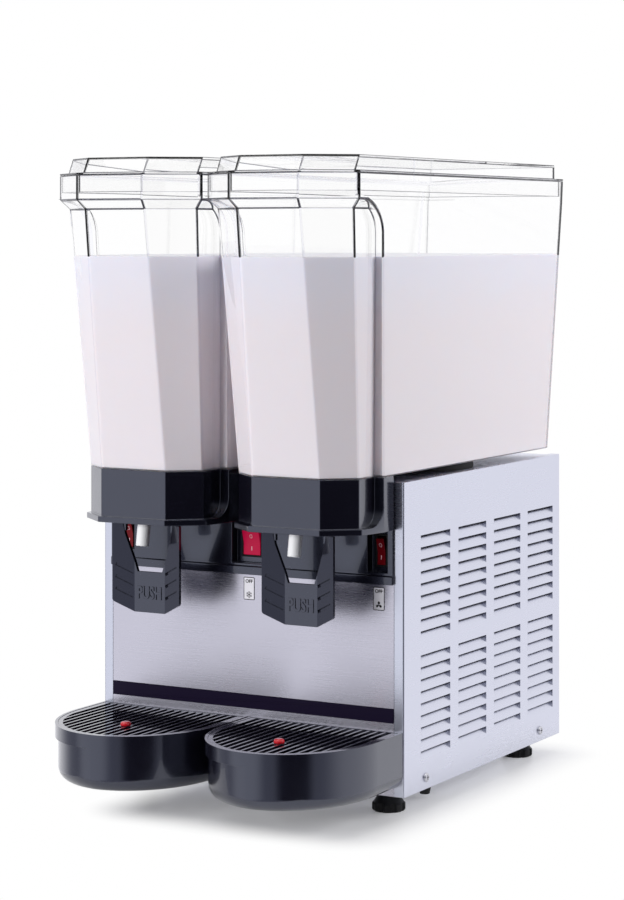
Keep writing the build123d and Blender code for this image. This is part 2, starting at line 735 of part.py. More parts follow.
with BuildPart() as fascia:
    with BuildSketch(Plane.XZ.offset(-FASCIA_FACE)):
        with Locations((0, FASCIA_BOTTOM)):
            Rectangle(fascia_width, FASCIA_HEIGHT, align=(Align.CENTER, Align.MIN))
    extrude(amount=-FASCIA_WALL)
    with BuildSketch(Plane.XZ.offset(-FASCIA_FACE)):
        with Locations((0, FASCIA_BOTTOM)):
            Rectangle(fascia_width, FASCIA_BORDER, align=(Align.CENTER, Align.MIN))
    extrude(amount=FASCIA_STEP)
    chamfer(fascia.edges().filter_by(Axis.X).group_by(Axis.Y)[0].sort_by(Axis.Z)[-1], FASCIA_STEP * 0.6)
    with BuildSketch(Plane.XZ.offset(-FASCIA_FACE)):
        with Locations((0, DECK_TOP - FLANGE - GAP)):
            Rectangle(fascia_width, FASCIA_WALL, align=(Align.CENTER, Align.MAX))
    extrude(amount=-FASCIA_DEPTH)
    with BuildSketch(Plane.XZ.offset(-FASCIA_FACE)):
        with Locations((0, SWITCH_Z)):
            Rectangle(POCKET_WIDTH + 2 * POCKET_WALL, POCKET_HEIGHT + 2 * POCKET_WALL)
        with Locations(*narrow_places):
            Rectangle(NARROW_POCKET_WIDTH + 2 * POCKET_WALL, POCKET_HEIGHT + 2 * POCKET_WALL)
    extrude(amount=-POCKET_DEPTH - POCKET_WALL)
    with BuildSketch(Plane.XZ.offset(-FASCIA_FACE)):
        with Locations((0, SWITCH_Z)):
            Rectangle(POCKET_WIDTH, POCKET_HEIGHT)
        with Locations(*narrow_places):
            Rectangle(NARROW_POCKET_WIDTH, POCKET_HEIGHT)
    extrude(amount=-POCKET_DEPTH, mode=Mode.SUBTRACT)
    with BuildSketch(Plane.XZ.offset(-FASCIA_FACE)):
        with Locations((0, SWITCH_Z)):
            Rectangle(*switch_cutout(WIDE_BEZEL))
        with Locations(*narrow_places):
            Rectangle(*switch_cutout(NARROW_BEZEL))
    extrude(amount=-POCKET_DEPTH - POCKET_WALL, mode=Mode.SUBTRACT)
save(fascia.part, "fascia")


# Rocker switches: a bezel with a body behind it, and a rocker on two trunnions
def switch_housing(bezel, rocker, face):
    """Open-fronted switch body whose bezel rests on a face; built on X = 0."""
    body = switch_cutout(bezel)
    pocket = (rocker[0] + 2 * GAP, rocker[1] + 8 * GAP)
    with BuildPart() as housing:
        with BuildSketch(Plane.XZ.offset(-face)):
            with Locations((0, SWITCH_Z)):
                Rectangle(*bezel)
        extrude(amount=BEZEL_THICKNESS, taper=BEZEL_TAPER)
        with BuildSketch(Plane.XZ.offset(-face)):
            with Locations((0, SWITCH_Z)):
                Rectangle(body[0] - 2 * GAP, body[1] - 2 * GAP)
        extrude(amount=-SWITCH_DEPTH)
        with BuildSketch(Plane.XZ.offset(-face + BEZEL_THICKNESS)):
            with Locations((0, SWITCH_Z)):
                Rectangle(*pocket)
        extrude(amount=-BEZEL_THICKNESS - ROCKER_DEPTH - ROCKER_ROOM, mode=Mode.SUBTRACT)
        with BuildSketch(Plane.YZ):
            with Locations((face + ROCKER_DEPTH / 2, SWITCH_Z)):
                Circle(TRUNNION_RADIUS + RUNNING_FIT)
        extrude(amount=pocket[0] / 2 + TRUNNION_LENGTH - GAP / 2, both=True, mode=Mode.SUBTRACT)
        for blade in (-body[1] / 4, body[1] / 4):
            with BuildSketch(Plane.XZ.offset(-face - SWITCH_DEPTH)):
                with Locations((0, SWITCH_Z + blade)):
                    Rectangle(BLADE_WIDTH, BLADE_THICKNESS)
            extrude(amount=-BLADE_LENGTH)
    return housing.part


def switch_rocker(rocker, face):
    """Rocker with a shallow V front, tipped to one side; built on X = 0."""
    half = rocker[1] / 2
    back = ROCKER_DEPTH / 2
    with BuildPart() as lever:
        with BuildSketch(Plane.YZ):
            with Locations((face + ROCKER_DEPTH / 2, SWITCH_Z)):
                Polygon(
                    (-back - ROCKER_PROUD, -half),
                    (-back - ROCKER_PROUD + half * tan(radians(ROCKER_TILT)), 0),
                    (-back - ROCKER_PROUD, half),
                    (-ROCKER_EDGE, half),
                    (back, half / 3),
                    (back, -half / 3),
                    (-ROCKER_EDGE, -half),
                    rotation=ROCKER_TILT,
                    align=None,
                )
        extrude(amount=rocker[0] / 2, both=True)
        with BuildSketch(Plane.YZ):
            with Locations((face + ROCKER_DEPTH / 2, SWITCH_Z)):
                Circle(TRUNNION_RADIUS)
        extrude(amount=rocker[0] / 2 + TRUNNION_LENGTH, both=True)
    return lever.part


wide_housing = switch_housing(WIDE_BEZEL, WIDE_ROCKER, pocket_floor)
wide_rocker = switch_rocker(WIDE_ROCKER, pocket_floor)
narrow_housing = switch_housing(NARROW_BEZEL, NARROW_ROCKER, pocket_floor)
narrow_rocker = switch_rocker(NARROW_ROCKER, pocket_floor)
save(wide_housing, "centre_switch_body")
save(wide_rocker, "centre_rocker")
for side, (x, _) in zip(("left", "right"), narrow_places):
    save(Pos(x, 0, 0) * narrow_housing, f"{side}_switch_body")
    save(Pos(x, 0, 0) * narrow_rocker, f"{side}_rocker")

# Tank: prow, shoulder, rim and C-shaped rear frame, hollowed, with a sump round its outlet
tank_outer = tank_envelope(0.0, TANK_BOTTOM)
tank_inner = tank_envelope(TANK_WALL, TANK_BOTTOM + TANK_FLOOR)
tank_hole = EVAPORATOR_RADIUS + TANK_HOLE_MARGIN

with BuildPart() as tank:
    add(tank_outer)
    add(tank_inner, mode=Mode.SUBTRACT)
    with BuildSketch(Plane.XY.offset(TANK_BOTTOM)):
        with Locations((0, EVAPORATOR_Y)):
            Circle(tank_hole + TANK_WALL)
    extrude(amount=UPSTAND)
    with BuildSketch(Plane.XY.offset(TANK_BOTTOM)):
        with Locations((0, EVAPORATOR_Y)):
            Circle(tank_hole)
    extrude(amount=UPSTAND, mode=Mode.SUBTRACT)
    with BuildSketch(Plane.XY.offset(TANK_BOTTOM + TANK_WALL)):
        with Locations((0, PISTON_Y)):
            Circle(SUMP_RADIUS)
    extrude(amount=TANK_FLOOR - TANK_WALL, mode=Mode.SUBTRACT)
    with BuildSketch(Plane.XY.offset(TANK_BOTTOM)):
        with Locations((0, PISTON_Y)):
            Circle(PISTON_RADIUS + 4 * RUNNING_FIT)
    extrude(amount=TANK_WALL, mode=Mode.SUBTRACT)
save_pair(tank.part, "tank")

# Drink: what fills the tank up to its level, hollow round the evaporator and the piston
drink_base = TANK_BOTTOM + TANK_FLOOR + GAP
sump_base = TANK_BOTTOM + TANK_WALL + GAP
drink_fill = tank_envelope(TANK_WALL + GAP, drink_base)
impeller_top = IMPELLER_BASE + IMPELLER_HEIGHT

with BuildPart() as drink:
    add(drink_fill)
    split(bisect_by=Plane.XY.offset(DRINK_TOP), keep=Keep.BOTTOM)
    with BuildSketch(Plane.XY.offset(drink_base)):
        with Locations((0, EVAPORATOR_Y)):
            Circle(tank_hole + TANK_WALL + GAP)
    extrude(amount=impeller_top + DRINK_CLEARANCE - drink_base, mode=Mode.SUBTRACT)
    with BuildSketch(Plane.XY.offset(sump_base)):
        with Locations((0, PISTON_Y)):
            Circle(SUMP_RADIUS - GAP)
    extrude(amount=drink_base - sump_base)
    with BuildSketch(Plane.XY.offset(sump_base)):
        with Locations((0, PISTON_Y)):
            Circle(PISTON_RADIUS + DRINK_CLEARANCE / 4)
    extrude(amount=PISTON_TOP + 2 * DRINK_CLEARANCE, mode=Mode.SUBTRACT)
save_pair(drink.part, "drink")

# Lid: flange on the rim, raised top whose front leans back, skirt inside the rim
lid_base = RIM_TOP + GAP
lid_rear = REAR + TANK_OVERHANG
skirt_inset = TANK_WALL + SKIRT_GAP
skirt_rear = rear_wall(RIM_TOP - SKIRT_DEPTH) - skirt_inset

with BuildPart() as lid:
    with BuildSketch(Plane.XY.offset(lid_base)):
        Polygon(*rim_outline(0.0, lid_rear), align=None)
    extrude(amount=LID_FLANGE)
    with BuildSketch(Plane.XY.offset(lid_base)):
        Polygon(*rim_outline(LID_INSET, lid_rear - LID_INSET), align=None)
    with BuildSketch(Plane.XY.offset(LID_TOP)):
        Polygon(*rim_outline(LID_INSET, lid_rear - LID_INSET, LID_LEAN), align=None)
    loft(ruled=True)
    with BuildSketch(Plane.XY.offset(lid_base - SKIRT_DEPTH)):
        Polygon(*rim_outline(skirt_inset, skirt_rear), align=None)
    extrude(amount=SKIRT_DEPTH)
    with BuildSketch(Plane.XY.offset(lid_base - SKIRT_DEPTH)):
        Polygon(*rim_outline(skirt_inset + SKIRT_WALL, skirt_rear - SKIRT_WALL), align=None)
    extrude(amount=SKIRT_DEPTH, mode=Mode.SUBTRACT)
    with BuildSketch(Plane.XY.offset(lid_base)):
        Polygon(*rim_outline(LID_INSET + LID_WALL, lid_rear - LID_INSET - LID_WALL), align=None)
    with BuildSketch(Plane.XY.offset(LID_TOP - LID_WALL)):
        Polygon(*rim_outline(LID_INSET + LID_WALL, lid_rear - LID_INSET - LID_WALL, LID_LEAN), align=None)
    loft(ruled=True, mode=Mode.SUBTRACT)
save_pair(lid.part, "lid")

# Gasket: flat ring between the deck and the tank's floor
with BuildPart() as gasket:
    with BuildSketch(Plane.XY.offset(DECK_TOP)):
        with Locations((0, EVAPORATOR_Y)):
            Circle(tank_hole + GASKET_WIDTH)
            Circle(tank_hole + GAP, mode=Mode.SUBTRACT)
    extrude(amount=TANK_BOTTOM - GAP - DECK_TOP)
save_pair(gasket.part, "tank_gasket")

# Evaporator: hollow steel dome that stands in the tank, with a pin for the impeller
evaporator_inner = EVAPORATOR_RADIUS - EVAPORATOR_WALL
dome_inner = EVAPORATOR_DOME - EVAPORATOR_WALL

with BuildPart() as evaporator:
    with BuildSketch(Plane.XY.offset(DECK_TOP)):
        with Locations((0, EVAPORATOR_Y)):
            Circle(EVAPORATOR_RADIUS)
    extrude(amount=EVAPORATOR_HEIGHT)
    fillet(evaporator.edges().group_by(Axis.Z)[-1], EVAPORATOR_DOME)
    with BuildSketch(Plane.XY.offset(DECK_TOP)):
        with Locations((0, EVAPORATOR_Y)):
            Circle(evaporator_inner)
    extrude(amount=EVAPORATOR_HEIGHT - EVAPORATOR_WALL - dome_inner, mode=Mode.SUBTRACT)
    with BuildSketch(Plane.XY.offset(EVAPORATOR_TOP - EVAPORATOR_WALL - dome_inner)):
        with Locations((0, EVAPORATOR_Y)):
            Circle(evaporator_inner - dome_inner)
    extrude(amount=dome_inner, mode=Mode.SUBTRACT)
    with BuildSketch(Plane.XY.offset(EVAPORATOR_TOP)):
        with Locations((0, EVAPORATOR_Y)):
            Circle(IMPELLER_PIN_RADIUS)
    extrude(amount=IMPELLER_HEIGHT - IMPELLER_CAP - IMPELLER_LIFT)
    with BuildSketch(Plane.XY.offset(DECK_TOP)):
        with Locations((0, EVAPORATOR_Y)):
            Circle(EVAPORATOR_RADIUS + TANK_HOLE_MARGIN)
            Circle(evaporator_inner, mode=Mode.SUBTRACT)
    extrude(amount=EVAPORATOR_WALL)
save_pair(evaporator.part, "evaporator")

# Impeller: magnet disc, hub and swept blades, turning on the evaporator's pin
with BuildPart() as impeller:
    with BuildSketch(Plane.XY.offset(IMPELLER_BASE)):
        with Locations((0, EVAPORATOR_Y)):
            Circle(ROTOR_RADIUS)
    extrude(amount=IMPELLER_DISC)
    with BuildSketch(Plane.XY.offset(IMPELLER_BASE)):
        with Locations((0, EVAPORATOR_Y)):
            Circle(IMPELLER_HUB_RADIUS)
    extrude(amount=IMPELLER_HEIGHT, taper=IMPELLER_HUB_TAPER)
    with BuildSketch(Plane.XY.offset(IMPELLER_BASE)):
        with Locations((0, EVAPORATOR_Y)):
            with PolarLocations(IMPELLER_RADIUS / 2, IMPELLER_BLADES):
                Rectangle(IMPELLER_RADIUS, IMPELLER_BLADE, rotation=IMPELLER_SWEEP)
    extrude(amount=IMPELLER_HEIGHT - IMPELLER_DISC)
    with BuildSketch(Plane.XY.offset(IMPELLER_BASE)):
        with Locations((0, EVAPORATOR_Y)):
            Circle(IMPELLER_PIN_RADIUS + RUNNING_FIT)
    extrude(amount=IMPELLER_HEIGHT - IMPELLER_CAP, mode=Mode.SUBTRACT)
save_pair(impeller.part, "impeller")

# Agitator motor: hung under the deck on four posts, with a bearing for the rotor
motor_top = DECK_TOP - SHEET - MOTOR_DROP
post_span = MOTOR_PLATE_WIDTH - 2 * MOTOR_POST_INSET
post_depth = MOTOR_PLATE_DEPTH - 2 * MOTOR_POST_INSET

with BuildPart() as agitator_motor:
    with BuildSketch(Plane.XY.offset(motor_top)):
        with Locations((0, EVAPORATOR_Y)):
            Circle(MOTOR_RADIUS)
    extrude(amount=-MOTOR_HEIGHT)
    fillet(agitator_motor.edges().group_by(Axis.Z)[0], MOTOR_EDGE)
    with BuildSketch(Plane.XY.offset(motor_top)):
        with Locations((0, EVAPORATOR_Y)):
            Rectangle(MOTOR_PLATE_WIDTH, MOTOR_PLATE_DEPTH)
    extrude(amount=MOTOR_PLATE)
    with BuildSketch(Plane.XY.offset(motor_top)):
        with Locations((0, EVAPORATOR_Y)):
            with GridLocations(post_span, post_depth, 2, 2):
                Circle(MOTOR_POST_RADIUS)
    extrude(amount=MOTOR_DROP)
    with BuildSketch(Plane.XY.offset(motor_top)):
        with Locations((0, EVAPORATOR_Y)):
            Circle(MOTOR_BEARING_RADIUS)
    extrude(amount=MOTOR_BEARING_HEIGHT)
    with BuildSketch(Plane.XY.offset(motor_top + MOTOR_BEARING_HEIGHT)):
        with Locations((0, EVAPORATOR_Y)):
            Circle(ROTOR_SHAFT_RADIUS + RUNNING_FIT)
    extrude(amount=-MOTOR_BEARING_HEIGHT - MOTOR_BORE_DEPTH, mode=Mode.SUBTRACT)
save_pair(agitator_motor.part, "agitator_motor")

# Magnet rotor: the motor's shaft with a magnet disc close under the dome
rotor_bottom = motor_top - MOTOR_BORE_DEPTH + IMPELLER_LIFT
rotor_top = EVAPORATOR_TOP - EVAPORATOR_WALL - ROTOR_CLEARANCE

with BuildPart() as magnet_rotor:
    with BuildSketch(Plane.XY.offset(rotor_bottom)):
        with Locations((0, EVAPORATOR_Y)):
            Circle(ROTOR_SHAFT_RADIUS)
    extrude(amount=rotor_top - rotor_bottom)
    with BuildSketch(Plane.XY.offset(rotor_top - ROTOR_THICKNESS)):
        with Locations((0, EVAPORATOR_Y)):
            Circle(ROTOR_RADIUS)
    extrude(amount=ROTOR_THICKNESS)
save_pair(magnet_rotor.part, "magnet_rotor")

# Collar: band that carries on the prow's outline, with a lip that sweeps up at the sides
prow_width = TANK_WIDTH - 2 * PROW_STEP_LOW
lip_outline = chamfered_outline(
    PROW_FACE_LOW,
    PROW_REACH_LOW,
    prow_width,
    PROW_REACH_LOW - PROW_BEVEL_LOW,
    FASCIA_FACE,
    -LIP_REACH,
)
lip_right = lip_outline[:2] + [(TANK_WIDTH / 2, FRONT - FRAME_EDGE_LOW), (TANK_WIDTH / 2, FASCIA_FACE)]
lip_flared = lip_right + [(-x, y) for x, y in reversed(lip_right)]
collar_floor = COLLAR_BAND_BOTTOM + COLLAR_WALL
collar_back = FASCIA_FACE - COLLAR_WALL
boss_inner = LEVER_WIDTH / 2 - BOSS_INSET

with BuildPart() as collar_frame:
    with BuildSketch(Plane.XY.offset(COLLAR_BOTTOM)):
        Polygon(*lip_flared, align=None)
    extrude(amount=COLLAR_TOP - COLLAR_BOTTOM)
    with BuildSketch(Plane.YZ):
        with BuildLine():
            sweep_y = FRONT - FRAME_EDGE_LOW - LIP_SWEEP
            corner = CenterArc((sweep_y, COLLAR_BAND_BOTTOM + LIP_SWEEP), LIP_SWEEP, 270, 90)
            Polyline(
                corner @ 1,
                (FRONT - FRAME_EDGE_LOW, COLLAR_TOP),
                (FASCIA_FACE, COLLAR_TOP),
                (FASCIA_FACE, COLLAR_BOTTOM),
                (FRONT - PROW_REACH_LOW - LIP_REACH, COLLAR_BOTTOM),
                (FRONT - PROW_REACH_LOW - LIP_REACH, COLLAR_BAND_BOTTOM),
                corner @ 0,
            )
        make_face()
    extrude(amount=TANK_WIDTH / 2, both=True, mode=Mode.INTERSECT)

with BuildPart() as collar:
    add(collar_frame.part)
    with BuildSketch(Plane.XY.offset(COLLAR_BOTTOM)):
        Polygon(*prow_outline(TANK_BOTTOM, 0.0, FASCIA_FACE), align=None)
    extrude(amount=COLLAR_TOP - COLLAR_BOTTOM)
    with BuildSketch(Plane.XY.offset(collar_floor)):
        Polygon(*prow_outline(TANK_BOTTOM, COLLAR_WALL, collar_back), align=None)
    extrude(amount=COLLAR_HEIGHT, mode=Mode.SUBTRACT)
    with BuildSketch(Plane.XY.offset(COLLAR_BOTTOM)):
        Polygon(*prow_outline(TANK_BOTTOM, COLLAR_WALL, collar_back), align=None)
    extrude(amount=LIP_HEIGHT, mode=Mode.SUBTRACT)
    with BuildSketch(Plane.XY.offset(PIVOT_Z - BOSS_DROP)):
        Polygon(*prow_outline(TANK_BOTTOM, COLLAR_WALL / 2, collar_back), align=None)
        with Locations((0, PIVOT_Y)):
            Rectangle(TANK_WIDTH, BOSS_DEPTH, mode=Mode.INTERSECT)
        with Locations((0, PIVOT_Y)):
            Rectangle(2 * boss_inner, BOSS_DEPTH, mode=Mode.SUBTRACT)
    extrude(amount=BOSS_HEIGHT)
    with BuildSketch(Plane.XY.offset(GUIDE_Z)):
        Polygon(*prow_outline(TANK_BOTTOM, COLLAR_WALL / 2, collar_back), align=None)
        with Locations((0, PISTON_Y)):
            Rectangle(TANK_WIDTH, GUIDE_WIDTH, mode=Mode.INTERSECT)
        with Locations((0, PISTON_Y)):
            Circle(PISTON_RADIUS + RUNNING_FIT, mode=Mode.SUBTRACT)
    extrude(amount=GUIDE_THICKNESS)
    with BuildSketch(Plane.XY.offset(COLLAR_BOTTOM)):
        with Locations((0, FRONT - PROW_REACH_LOW + COLLAR_WALL + EYE_RADIUS)):
            Rectangle(LEVER_WIDTH + 2 * LEVER_CLEARANCE, LEVER_WELL, align=(Align.CENTER, Align.MIN))
    extrude(amount=collar_floor - COLLAR_BOTTOM, mode=Mode.SUBTRACT)
    with BuildSketch(Plane.YZ):
        with Locations((PIVOT_Y, PIVOT_Z)):
            Circle(PIN_RADIUS)
    extrude(amount=PIN_LENGTH / 2, both=True, mode=Mode.SUBTRACT)
save_pair(collar.part, "collar")

# Lever pin: steel pin held by the collar's two bosses
with BuildPart() as lever_pin:
    with BuildSketch(Plane.YZ):
        with Locations((PIVOT_Y, PIVOT_Z)):
            Circle(PIN_RADIUS)
    extrude(amount=PIN_LENGTH / 2, both=True)
save_pair(lever_pin.part, "lever_pin")

# Push lever: three-sided paddle behind the spout, two arms up to the pin, a lifting fork
half_lever = LEVER_WIDTH / 2
half_face = LEVER_FACE / 2
paddle_y = FRONT - LEVER_SETBACK
wing_y = paddle_y - LEVER_WING
arm_inner = WINDOW_HIGH / 2
arm_top = COLLAR_BOTTOM - LEVER_TOP_GAP
lever_bottom = arm_top - LEVER_HEIGHT
window_sill = lever_bottom + WINDOW_SILL
window_knee = lever_bottom + WINDOW_KNEE
fork_z = FLANGE_Z - GAP - FORK_RADIUS
eye_low = arm_inner - BOSS_INSET
eye_high = half_lever - ARM_INSET
arm_high, arm_low = (radians(angle) for angle in ARM_TANGENTS)
neck_y = mix(paddle_y, wing_y, (eye_low - half_face) / (half_lever - half_face))

with BuildPart() as tap_lever:
    with BuildSketch(Plane.XY.offset(lever_bottom)):
        with BuildLine():
            Polyline(
                (-half_lever, wing_y),
                (-half_face, paddle_y),
                (half_face, paddle_y),
                (half_lever, wing_y),
                (half_lever, wing_y + LEVER_THICKNESS),
                (half_face, paddle_y + LEVER_THICKNESS),
                (-half_face, paddle_y + LEVER_THICKNESS),
                (-half_lever, wing_y + LEVER_THICKNESS),
                close=True,
            )
        make_face()
    extrude(amount=arm_top - lever_bottom)
    with BuildSketch(Plane.XZ.offset(-paddle_y)) as lever_front:
        Polygon(
            (-half_face, lever_bottom),
            (half_face, lever_bottom),
            (half_lever, lever_bottom + LEVER_CHEVRON),
            (half_lever, arm_top),
            (WINDOW_HIGH / 2, arm_top),
            (WINDOW_MID / 2, window_knee),
            (WINDOW_LOW / 2, window_sill),
            (-WINDOW_LOW / 2, window_sill),
            (-WINDOW_MID / 2, window_knee),
            (-WINDOW_HIGH / 2, arm_top),
            (-half_lever, arm_top),
            (-half_lever, lever_bottom + LEVER_CHEVRON),
            align=None,
        )
        fillet(lever_front.vertices().group_by(Axis.Y)[1], LEVER_CORNER)
    extrude(amount=4 * LEVER_WING, both=True, mode=Mode.INTERSECT)
    for sign in (-1, 1):
        wing_run = half_lever - half_face
        for groove in range(GROOVE_COUNT):
            groove_z = lever_bottom + GROOVE_TOP - groove * GROOVE_PITCH
            wing_plane = Plane(
                origin=(sign * half_face, paddle_y, groove_z),
                x_dir=(sign * wing_run, -LEVER_WING, LEVER_CHEVRON),
                z_dir=(-sign * LEVER_WING, -wing_run, 0),
            )
            with BuildSketch(wing_plane):
                with Locations((GROOVE_MARGIN, 0)):
                    Rectangle(wing_run - 1.5 * GROOVE_MARGIN, GROOVE_WIDTH, align=(Align.MIN, Align.CENTER))
            extrude(amount=-GROOVE_DEPTH, mode=Mode.SUBTRACT)
        with BuildSketch(Plane.YZ.offset(sign * eye_low)):
            Polygon(
                (neck_y, arm_top - ARM_LAP),
                (neck_y + LEVER_THICKNESS, arm_top - ARM_LAP),
                (neck_y + LEVER_THICKNESS, arm_top + ARM_RISE),
                (PIVOT_Y + EYE_RADIUS * cos(arm_high), PIVOT_Z + EYE_RADIUS * sin(arm_high)),
                (PIVOT_Y + EYE_RADIUS * cos(arm_low), PIVOT_Z + EYE_RADIUS * sin(arm_low)),
                (neck_y, arm_top),
                align=None,
            )
            with Locations((PIVOT_Y, PIVOT_Z)):
                Circle(EYE_RADIUS)
        extrude(amount=sign * (eye_high - eye_low))
        with BuildSketch(Plane.YZ.offset(sign * FORK_INNER)):
            with Locations((PIVOT_Y, PIVOT_Z)):
                Circle(FORK_RADIUS)
            with Locations((PISTON_Y, fork_z)):
                Circle(FORK_RADIUS)
            make_hull()
        extrude(amount=sign * FORK_WIDTH)
    with BuildSketch(Plane.YZ):
        with Locations((PIVOT_Y, PIVOT_Z)):
            Circle(EYE_RADIUS)
    extrude(amount=eye_low, both=True)
    with BuildSketch(Plane.YZ):
        with Locations((PIVOT_Y, PIVOT_Z)):
            Circle(PIN_RADIUS + RUNNING_FIT)
    extrude(amount=half_lever, both=True, mode=Mode.SUBTRACT)
save_pair(tap_lever.part, "tap_lever")

# Valve piston: hollow plunger through the tank's floor, ending in the leaning spout
piston_top = TANK_BOTTOM + PISTON_TOP
piston_bend = TANK_BOTTOM - PISTON_STRAIGHT
seal_z = TANK_BOTTOM + SEAL_HEIGHT
seal_radius = PISTON_RADIUS + 3 * RUNNING_FIT - SEAL_SECTION
port_z = seal_z - SEAL_SECTION - RUNNING_FIT - PORT_LAND - PORT_RADIUS
lean = radians(NOZZLE_LEAN)
nozzle_plane = Plane(
    origin=(0, PISTON_Y, piston_bend),
    x_dir=(1, 0, 0),
    z_dir=(0, -sin(lean), -cos(lean)),
)

with BuildPart() as valve_piston:
    with BuildSketch(Plane.XY.offset(piston_bend)):
        with Locations((0, PISTON_Y)):
            Circle(PISTON_RADIUS)
    extrude(amount=piston_top - piston_bend)
    with BuildSketch(nozzle_plane):
        Circle(PISTON_RADIUS)
    extrude(amount=NOZZLE_LENGTH)
    fillet(valve_piston.edges().group_by(Axis.Z)[0], NOZZLE_EDGE)
    with Locations((0, PISTON_Y, piston_bend)):
        Sphere(PISTON_RADIUS)
    with BuildSketch(Plane.XY.offset(FLANGE_Z)):
        with Locations((0, PISTON_Y)):
            Circle(PISTON_FLANGE_RADIUS)
    extrude(amount=PISTON_FLANGE_THICKNESS)
    with BuildSketch(Plane.XY.offset(piston_bend)):
        with Locations((0, PISTON_Y)):
            Circle(PISTON_BORE)
    extrude(amount=port_z - piston_bend, mode=Mode.SUBTRACT)
    with BuildSketch(nozzle_plane):
        Circle(PISTON_BORE)
    extrude(amount=NOZZLE_LENGTH, mode=Mode.SUBTRACT)
    with BuildSketch(Plane.YZ):
        with Locations((PISTON_Y, port_z)):
            Circle(PORT_RADIUS)
    extrude(amount=2 * PISTON_RADIUS, both=True, mode=Mode.SUBTRACT)
    with BuildSketch(Plane.XY.offset(seal_z - SEAL_SECTION - RUNNING_FIT)):
        with Locations((0, PISTON_Y)):
            Circle(PISTON_FLANGE_RADIUS)
            Circle(seal_radius - SEAL_SECTION - RUNNING_FIT, mode=Mode.SUBTRACT)
    extrude(amount=2 * (SEAL_SECTION + RUNNING_FIT), mode=Mode.SUBTRACT)
save_pair(valve_piston.part, "valve_piston")

# Piston seal: rubber ring in the piston's groove, inside the tank's outlet
with BuildPart() as piston_seal:
    with BuildSketch(Plane.XZ.offset(-PISTON_Y)):
        with Locations((seal_radius, seal_z)):
            Circle(SEAL_SECTION)
    revolve(axis=Axis((0, PISTON_Y, 0), (0, 0, 1)))
save_pair(piston_seal.part, "piston_seal")

# Valve spring: coil between the collar's guide and the piston's flange
spring_low = FLANGE_Z + PISTON_FLANGE_THICKNESS + SPRING_WIRE + GAP
spring_high = GUIDE_Z - SPRING_WIRE - GAP

with BuildPart() as valve_spring:
    with BuildLine() as coil:
        Helix(
            pitch=(spring_high - spring_low) / SPRING_TURNS,
            height=spring_high - spring_low,
            radius=SPRING_RADIUS,
            center=(0, PISTON_Y, spring_low),
        )
    with BuildSketch(Plane(origin=coil.line @ 0, z_dir=coil.line % 0)):
        Circle(SPRING_WIRE)
    sweep()
save_pair(valve_spring.part, "valve_spring")

# Drip tray: stepped below its band on one side, tongues that hook into the front panel
tray_upper = tray_plan(0.0)
tray_lower = tray_plan(0.0) & tray_plan(0.0, TRAY_STEP)
tray_cavity = tray_plan(TRAY_WALL)
tray_well = tray_plan(TRAY_WALL + TRAY_SEAT) & tray_plan(TRAY_WALL + TRAY_SEAT, TRAY_STEP)

with BuildPart() as drip_tray:
    extrude(Pos(0, 0, TRAY_BOTTOM) * tray_lower, amount=TRAY_HEIGHT - TRAY_BAND)
    bottom_edges = drip_tray.edges().group_by(Axis.Z)[0]
    fillet(bottom_edges.sort_by(Axis.Y)[:-1], TRAY_BOTTOM_RADIUS)
    extrude(Pos(0, 0, TRAY_TOP - TRAY_BAND) * tray_upper, amount=TRAY_BAND)
    extrude(Pos(0, 0, TRAY_BOTTOM + TRAY_WALL) * tray_well, amount=TRAY_HEIGHT, mode=Mode.SUBTRACT)
    extrude(Pos(0, 0, GRILLE_BASE - GAP) * tray_cavity, amount=TRAY_HEIGHT, mode=Mode.SUBTRACT)
    with BuildSketch(Plane.XZ.offset(-FRONT + TRAY_WALL)):
        with Locations((0, TONGUE_Z)):
            with GridLocations(TONGUE_SPACING, 1, 2, 1):
                Rectangle(TONGUE_WIDTH, TONGUE_THICKNESS)
    extrude(amount=-TRAY_WALL - TONGUE_LENGTH)
save_pair(drip_tray.part, "drip_tray")

# Drip grille: bars along the depth inside a border, slots with a sloping rear end, a guide boss for the float
grille_outline = tray_plan(TRAY_WALL + GAP)
grille_window = tray_plan(TRAY_WALL + GRILLE_BORDER)
slot_width = GRILLE_PITCH - GRILLE_BAR
slot_end = FRONT - GAP - TRAY_WALL - GRILLE_BORDER

with BuildSketch() as grille_slots:
    add(grille_window)
    with BuildSketch(mode=Mode.INTERSECT):
        with Locations((0, FRONT - TRAY_REACH / 2)):
            with GridLocations(GRILLE_PITCH, 1, GRILLE_BARS + 1, 1):
                Rectangle(slot_width, TRAY_REACH)

with BuildSketch() as grille_ribs:
    add(grille_window)
    with BuildSketch(mode=Mode.INTERSECT):
        with Locations((0, FRONT - GRILLE_RIB_SETBACK)):
            with GridLocations(1, GRILLE_RIB_PITCH, 1, GRILLE_RIBS):
                Rectangle(TRAY_WIDTH, GRILLE_BAR)

